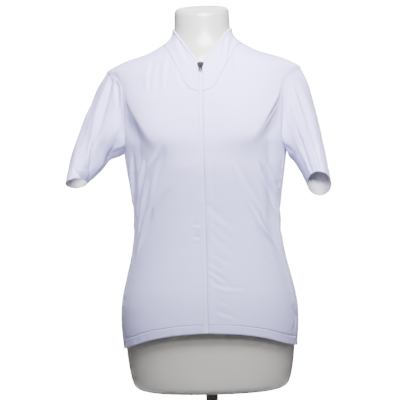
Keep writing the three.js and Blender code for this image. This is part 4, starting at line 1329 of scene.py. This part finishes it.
POCKET_ROWS = [0.006, *(k / 3 + side * 0.004 for k in (1, 2) for side in (-1, 1)), 0.994]
straight = {
    "armhole_and_side": [inset_line("front_" + s, SEAM_ROW, 1) for s in SIDES]
    + [inset_line("back", SEAM_ROW, e) for e in (0, 1)]
    + [inset_line("side_" + s, SEAM_ROW, e) for s in SIDES for e in (0, 1)]
    + [cross_line("sleeve_" + s, SEAM_ROW) for s in SIDES],
    "neck": [cross_line("collar", 1.4), cross_line("collar", 5.5, 1)],
    "zip_edge": [inset_line("front_" + s, d, high=NECK_FRONT) for s in SIDES for d in (1.8, 8.6)],
    "cuff": [cross_line("sleeve_" + s, HEM_FOLD - d, 1) for s in SIDES for d in (1.2, 4.6)],
    "hem": [cross_line("hem_band", d) for d in (2.4, 13.6)],
    "pocket": [share_line("rear_pocket", s) for s in POCKET_ROWS]
    + [cross_line("rear_pocket", 7.0, 1)],
}
zigzag = (
    [cross_line("sleeve_" + s, 0.1) for s in SIDES]
    + [inset_line("front_" + s, 0.0, 1, high=ARMHOLE_FOOT) for s in SIDES]
    + [inset_line("front_" + s, 0.0, 1, low=SHOULDER) for s in SIDES]
    + [inset_line("back", 0.0, e, high=ARMHOLE_FOOT) for e in (0, 1)]
)
for seam_name, paths in straight.items():
    made = run_of(
        "stitches_" + seam_name, paths, lock_stitch, THREAD, Pitch=STITCH_PITCH, Lift=STITCH_LIFT
    )
    finish_piece(made, "cloth")
made = run_of(
    "stitches_flat_seam", zigzag, zigzag_stitch, THREAD,
    Pitch=ZIGZAG_PITCH, Slant=ZIGZAG_SLANT, Lift=ZIGZAG_LIFT,
)
finish_piece(made, "cloth")


# ---------------------------------------------------------------- bindings
def binding(name, path, normals, across, width, proud):
    """A folded tape over an edge: across points off the piece's edge."""
    half = CLOTH_WALL + proud
    profile = np.array([
        (-width, proud), (-width * 0.5, proud + 0.12), (0.2, proud), (proud * 0.8, -0.1),
        (proud, -CLOTH_WALL / 2), (proud * 0.8, -CLOTH_WALL + 0.1), (0.2, -half), (-width, -half),
        (-width, -CLOTH_WALL), (-0.3, -CLOTH_WALL), (-0.3, 0.02), (-width, 0.02),
    ])[None]
    rings = path[:, None] + across[:, None] * profile[..., :1] + normals[:, None] * profile[..., 1:]
    vertices, faces = tube(rings)
    uv = np.column_stack([vertices[:, 0], vertices[:, 2]])
    return finish_piece(mesh_object(name, vertices, faces, BINDING, uv), "cloth")


def top_edge(name):
    points, normals = cloth[name]["points"], cloth[name]["normals"]
    return points[-1], normals[-1], unit(points[-1] - points[-2])


collar_binding = binding("binding_collar", *top_edge("collar"), 4.2, 0.5)
pocket_binding = binding("binding_pocket", *top_edge("rear_pocket"), 6.0, 0.35)


# ---------------------------------------------------------------- zip
COIL_PITCH, COIL_DEPTH = 0.00115, 1.3
coil_side = [(0.5, 2.55, -0.25), (0.5, 0.4, 0.0), (0.42, -0.5, 0.1)]
coil_path = [(-x, y, z) for x, y, z in coil_side] + [(0, -0.95, 0.15)] + coil_side[::-1]
coil_wire = wire_element("coil_wire", coil_path, 0.38, sides=5, ends=0.8)
zip_z = np.arange(hem_at(0) + 3, ZIP_TOP - 5, 3.0)
zip_normals = body_normal(jersey, np.zeros_like(zip_z), zip_z)
zip_line = cloth_point(np.zeros_like(zip_z), zip_z, -COIL_DEPTH)
chain = run_of("zip_coil", [(zip_line, zip_normals)], coil_wire, ZIP_PLASTIC_PAINTED_LIGHTER,
               Pitch=COIL_PITCH, Alternate_Turn=math.pi)
finish_piece(chain, "zip", "zip_chain")


def on_zip(z):
    """X across, Y up the zip and Z out of the cloth, at one height of the zip."""
    out = Vector(body_normal(jersey, 0.0, float(z)))
    across = Vector((1, 0, 0))
    upward = out.cross(across)
    place = Matrix((across, upward, out)).transposed().to_4x4()
    place.translation = Vector(body_point(jersey, 0.0, float(z)))
    return place


def outline(start, *legs):
    """Points of a closed outline: a leg of two numbers is straight, one of four bends to its end."""
    points = [start]
    for leg in legs:
        if len(leg) == 2:
            points.append(leg)
            continue
        x0, y0 = points[-1]
        cx, cy, x1, y1 = leg
        for t in np.linspace(0, 1, 9)[1:]:
            points.append((
                (1 - t) ** 2 * x0 + 2 * t * (1 - t) * cx + t * t * x1,
                (1 - t) ** 2 * y0 + 2 * t * (1 - t) * cy + t * t * y1,
            ))
    return points


def arc(x, y, radius, start, end, count=14):
    turn = np.linspace(start, end, count)
    return [(x + radius * math.cos(a), y + radius * math.sin(a)) for a in turn]


def plate(name, outlines, thickness, edge, place, material):
    """A flat plate with rounded edges from its outline and its holes."""
    flat = bpy.data.curves.new(name, "CURVE")
    flat.dimensions = "2D"
    flat.fill_mode = "BOTH"
    flat.extrude = thickness / 2 - edge
    flat.bevel_depth = edge
    flat.bevel_resolution = 2
    flat.offset = -edge
    for points in outlines:
        spline = flat.splines.new("POLY")
        spline.points.add(len(points) - 1)
        for target, (x, y) in zip(spline.points, points):
            target.co = (x, y, 0, 1)
        spline.use_cyclic_u = True
    holder = link_object(name, flat)
    depsgraph = bpy.context.evaluated_depsgraph_get()
    mesh = bpy.data.meshes.new_from_object(holder.evaluated_get(depsgraph), depsgraph=depsgraph)
    bpy.data.objects.remove(holder)
    solid = bmesh.new()
    solid.from_mesh(mesh)
    bmesh.ops.remove_doubles(solid, verts=solid.verts, dist=1e-4)
    bmesh.ops.transform(solid, matrix=Matrix.Scale(MM, 4) @ place, verts=solid.verts)
    bmesh.ops.recalc_face_normals(solid, faces=solid.faces)
    solid.to_mesh(mesh)
    solid.free()
    mesh.materials.clear()
    mesh.materials.append(material)
    return link_object(name, mesh)


PLATE_BACK, PLATE_THICKNESS, PLATE_TOP, PLATE_SHOULDER, PLATE_HALF = 0.75, 1.4, 5.9, 2.2, 6.3
PLATE_FOOT, PLATE_FOOT_HALF, PLATE_EDGE = -5.2, 4.1, 0.4
CROWN_THICKNESS, CROWN_EDGE, CROWN_LIFT = 0.9, 0.3, 0.2
EYE_Y, EYE_HEIGHT, EYE_RADIUS, EYE_HOLE = -2.4, 1.65, 2.15, 1.15
EYE_HALF, EYE_SUNK, EYE_EDGE = 1.2, 0.3, 0.22
PLATE_FACE = PLATE_BACK + PLATE_THICKNESS
TAB_HALF, TAB_FOOT_HALF, TAB_FOOT, TAB_THICKNESS, TAB_BAR, TAB_EDGE = 3.2, 3.6, -11, 1.2, 0.6, 0.25
WINDOW_HALF, WINDOW_FOOT = 1.6, -2.9
SLOT_TOP, SLOT_FOOT, SLOT_HALF = -6, -9, 1.1

slider_place = on_zip(SLIDER_HEIGHT)
shield = outline(
    (-PLATE_FOOT_HALF + 1, PLATE_FOOT), (PLATE_FOOT_HALF - 1, PLATE_FOOT),
    (PLATE_FOOT_HALF, PLATE_FOOT, PLATE_FOOT_HALF + 0.2, PLATE_FOOT + 1),
    (PLATE_HALF - 1, -1, PLATE_HALF, PLATE_SHOULDER),
    (PLATE_HALF - 0.3, PLATE_TOP - 0.6, 0, PLATE_TOP),
    (-PLATE_HALF + 0.3, PLATE_TOP - 0.6, -PLATE_HALF, PLATE_SHOULDER),
    (-PLATE_HALF + 1, -1, -PLATE_FOOT_HALF - 0.2, PLATE_FOOT + 1),
    (-PLATE_FOOT_HALF, PLATE_FOOT, -PLATE_FOOT_HALF + 1, PLATE_FOOT),
)[:-1]
slider_plate = plate(
    "slider_plate", [shield], PLATE_THICKNESS, PLATE_EDGE,
    slider_place @ Matrix.Translation((0, 0, PLATE_BACK + PLATE_THICKNESS / 2)), SLIDER_METAL,
)
hinge_place = slider_place @ Matrix.Translation((0, EYE_Y, PLATE_FACE + EYE_HEIGHT))
eye_side = [(-EYE_RADIUS, -EYE_HEIGHT - EYE_SUNK), (EYE_RADIUS, -EYE_HEIGHT - EYE_SUNK)]
eye_side += arc(0, 0, EYE_RADIUS, 0, math.pi)
eye_hole = arc(0, 0, EYE_HOLE, 2 * math.pi, 0, 19)[:-1]
eye_turn = Matrix.Rotation(math.pi / 2, 4, "Z") @ Matrix.Rotation(math.pi / 2, 4, "X")
slider_eye = plate(
    "slider_eye", [eye_side, eye_hole], 2 * EYE_HALF, EYE_EDGE, hinge_place @ eye_turn,
    SLIDER_METAL,
)
crown = [(0.55 * x, 1.6 + 0.42 * y) for x, y in shield]
slider_crown = plate(
    "slider_crown", [crown], CROWN_THICKNESS, CROWN_EDGE,
    slider_place @ Matrix.Translation((0, 0, PLATE_FACE + CROWN_LIFT)), SLIDER_METAL,
)
finish_piece(slider_plate, "zip_metal", "zip_slider")
for made in (slider_eye, slider_crown):
    finish_piece(made, "zip_metal")

tab = outline(
    (-TAB_HALF, TAB_BAR), (-TAB_FOOT_HALF, TAB_FOOT + 2), (-TAB_FOOT_HALF, TAB_FOOT, 0, TAB_FOOT),
    (TAB_FOOT_HALF, TAB_FOOT, TAB_FOOT_HALF, TAB_FOOT + 2), (TAB_HALF, TAB_BAR),
)
window = [
    (-WINDOW_HALF, -TAB_BAR), (WINDOW_HALF, -TAB_BAR), (WINDOW_HALF, WINDOW_FOOT),
    (-WINDOW_HALF, WINDOW_FOOT),
]
slot = arc(0, SLOT_TOP, SLOT_HALF, math.pi, 0, 9) + arc(0, SLOT_FOOT, SLOT_HALF, 0, -math.pi, 9)
pull = plate(
    "pull_plate", [tab, window, slot], TAB_THICKNESS, TAB_EDGE, hinge_place, SLIDER_METAL
)
finish_piece(pull, "zip_metal", "zip_pull", body=PULL_BODY)

BOX_HALF, BOX_LENGTH, BOX_WALL, BOX_LIFT, BOX_EDGE = 3.2, 7.0, 1.6, 0.7, 0.3
box_place = on_zip(BOX_HEIGHT) @ Matrix.Translation((0, 0, BOX_LIFT + BOX_WALL / 2))
box_end = BOX_LENGTH / 2
box_side = outline(
    (-BOX_HALF + 0.8, -box_end), (BOX_HALF - 0.8, -box_end),
    (BOX_HALF, -box_end, BOX_HALF, -box_end + 0.8), (BOX_HALF, box_end - 0.5),
    (BOX_HALF - 0.5, box_end), (-BOX_HALF + 0.5, box_end), (-BOX_HALF, box_end - 0.5),
    (-BOX_HALF, -box_end + 0.8), (-BOX_HALF, -box_end, -BOX_HALF + 0.8, -box_end),
)[:-1]
dimple = arc(0, -1.2, 0.8, 2 * math.pi, 0, 13)[:-1]
# the box shares the coil's colour, painted lighter
zip_box = plate("zip_box_moulded", [box_side, dimple], BOX_WALL, BOX_EDGE, box_place, ZIP_PLASTIC_PAINTED_LIGHTER)
finish_piece(zip_box, "zip", "zip_box")


# ---------------------------------------------------------------- dress form and stand
FORM_COLUMNS = 128
FOOT_SHARES, CAP_SHARES = (0.35, 0.7, 0.92), (0.93, 0.7, 0.35)
CAP_RISE = 0.5


def form_shell():
    rows = np.unique(np.concatenate([
        FORM["z"], np.arange(100, 800, 7.0), np.linspace(FORM_FOOT, 98, 8),
        np.linspace(800, FORM_TOP, 6),
    ]))
    turn = np.linspace(0, 360, FORM_COLUMNS, endpoint=False)
    rings = body_point(form, turn[None], rows[:, None])
    slant = smooth(rows, CAP_SLANT_FROM, CAP_SLANT_FROM + 25)[:, None]
    rings[..., 2] += slant * CAP_SLANT * rings[..., 1]
    low = [rings[0] * (s, s, 1) for s in FOOT_SHARES]
    cap = [rings[-1] * (s, s, 1) for s in CAP_SHARES]
    for ring, s in zip(cap, CAP_SHARES):
        ring[:, 2] = rings[-1][:, 2] - (1 - s) * CAP_SLANT * rings[-1][:, 1] + CAP_RISE
    rings = np.array([*low, *rings, *cap])
    return mesh_object(
        "form_shell", *capped(rings, rings[0].mean(0), rings[-1].mean(0)), FORM_SHELL
    )


def turned(name, profile, segments, material=STAND_STEEL):
    return mesh_object(name, *lathe(profile, segments), material, smooth_shading=False)


finish_piece(form_shell(), "form", "dress_form")

POLE_LOW, POLE_HIGH = BASE_THICKNESS + 0.3, FORM_FOOT - 0.3
COLLET = [(POLE_HIGH - 9, 0), (POLE_HIGH - 8.4, 1.6), (POLE_HIGH - 0.6, 1.6), (POLE_HIGH, 1.0)]
pole_profile = [(0, POLE_LOW), (POLE_RADIUS - 0.8, POLE_LOW), (POLE_RADIUS, POLE_LOW + 0.8)]
pole_profile += [(POLE_RADIUS + proud, z) for z, proud in COLLET] + [(0, POLE_HIGH)]
finish_piece(turned("pole_tube", pole_profile, 64), "stand", "stand_pole")

HUB_INNER, HUB_OUTER, HUB_HEIGHT = POLE_RADIUS + 0.3, 19, 15
RIM = 2
rim_turn = [(math.sin(a), math.cos(a)) for a in np.linspace(0, math.pi / 2, 6)]
rim = [(BASE_RADIUS - RIM + RIM * s, RIM - RIM * c) for s, c in rim_turn]
rim += [(BASE_RADIUS - RIM + RIM * c, BASE_THICKNESS - RIM + RIM * s) for s, c in rim_turn]
hub_top = BASE_THICKNESS + HUB_HEIGHT
base_profile = [
    (0, 0), *rim, (HUB_OUTER + 1.5, BASE_THICKNESS), (HUB_OUTER + 0.4, BASE_THICKNESS + 0.4),
    (HUB_OUTER, BASE_THICKNESS + 1.5), (HUB_OUTER, hub_top - 1.5), (HUB_OUTER - 0.5, hub_top - 0.4),
    (HUB_OUTER - 1.5, hub_top), (HUB_INNER + 0.3, hub_top), (HUB_INNER, hub_top - 0.3),
    (HUB_INNER, BASE_THICKNESS), (0, BASE_THICKNESS),
]
finish_piece(turned("base_disc", base_profile, 128), "stand", "base_plate")

for helper in (lock_stitch, zigzag_stitch, coil_wire):
    bpy.data.objects.remove(helper)


# ---------------------------------------------------------------- the cut of each soft piece, read from the table
for name, piece in sewn.items():
    width, length, area = CUT[name]


# ---------------------------------------------------------------- floor, light and camera
FLOOR_RADIUS, FLOOR_THICKNESS = 420, 4.0
floor_profile = [
    (0, -FLOOR_THICKNESS), (FLOOR_RADIUS, -FLOOR_THICKNESS), (FLOOR_RADIUS, 0.0), (0, 0.0),
]
floor_material, _, _ = principled(
    "Studio floor", Base_Color=(0.6, 0.6, 0.6, 1), Roughness=0.9, Specular_IOR_Level=0.2
)
turned("studio_floor", floor_profile, 96, floor_material)

world = bpy.data.worlds.new("Studio")
bpy.context.scene.world = world
world.use_nodes = True
sky = world.node_tree
seen = node(sky, "ShaderNodeBackground", Color=(1, 1, 1, 1), Strength=20.0)
ambient = node(sky, "ShaderNodeBackground", Color=(1.0, 0.93, 0.86, 1), Strength=0.12)
rays = sky.nodes.new("ShaderNodeLightPath")
mixed = node(sky, "ShaderNodeMixShader", Fac=rays.outputs["Is Camera Ray"])
sky.links.new(ambient.outputs[0], mixed.inputs[1])
sky.links.new(seen.outputs[0], mixed.inputs[2])
sky.links.new(mixed.outputs[0], sky.nodes["World Output"].inputs["Surface"])


def lamp(name, kind, watts, place, aim, **settings):
    """A light that points from a place to another and that the camera doesn't see."""
    light = bpy.data.lights.new(name, kind)
    light.energy = watts
    for label, value in settings.items():
        setattr(light, label, value)
    holder = link_object(name, light)
    holder.location = place
    holder.visible_camera = False
    holder.rotation_euler = (Vector(place) - Vector(aim)).to_track_quat("Z", "Y").to_euler()


for name, watts, place, aim, size, spread in (
    ("Key", 14, (0.09, -0.6, 1.2), (0, 0, 0.62), 0.5, 180),
    ("Chest", 5.2, (0.1, -0.6, 1.2), (0, 0, 0.66), 0.5, 70),
    ("Side", 4.6, (0.4, -0.7, 1.25), (0, 0, 0.6), 0.5, 180),
    ("Low front", 2.8, (0.3, -1.5, 1.3), (0, 0, 0.3), 0.4, 70),
    ("Back fill", 7, (0.0, 1.3, 1.5), (0, 0, 0.5), 0.8, 180),
):
    lamp(name, "AREA", watts, place, aim, shape="DISK", size=size, spread=math.radians(spread))
for name, watts, place, aim in (
    ("Left cuff", 380, (-0.36, -1.6, 0.5), (-0.245, 0, 0.475)),
    ("Right cuff", 400, (0.34, -1.6, 0.78), (0.235, 0, 0.455)),
):
    lamp(
        name, "SPOT", watts, place, aim,
        spot_size=math.radians(9), spot_blend=1.0, shadow_soft_size=0.1,
    )

FOCAL_PIXELS, FRAME_PIXELS = 1789.5, 400
CAMERA_PLACE = Vector((191.8, -3394.6, 527)) * MM
CAMERA_TURN, CAMERA_ROLL = math.radians(3.45), math.radians(1.56)
CAMERA_DROP = math.atan(82 / 3400)
lens = bpy.data.cameras.new("Camera")
lens.sensor_width = 36
lens.lens = FOCAL_PIXELS * lens.sensor_width / FRAME_PIXELS
lens.clip_start, lens.clip_end = 0.1, 60
forward = Vector((
    -math.sin(CAMERA_TURN) * math.cos(CAMERA_DROP),
    math.cos(CAMERA_TURN) * math.cos(CAMERA_DROP),
    -math.sin(CAMERA_DROP),
))
right = Vector((math.cos(CAMERA_TURN), math.sin(CAMERA_TURN), 0))
above = right.cross(forward)
across = right * math.cos(CAMERA_ROLL) - above * math.sin(CAMERA_ROLL)
upward = right * math.sin(CAMERA_ROLL) + above * math.cos(CAMERA_ROLL)
camera_axes = Matrix((across, upward, -forward)).transposed().to_4x4()
camera = link_object("Camera", lens)
camera.matrix_world = Matrix.Translation(CAMERA_PLACE) @ camera_axes
bpy.context.scene.camera = camera
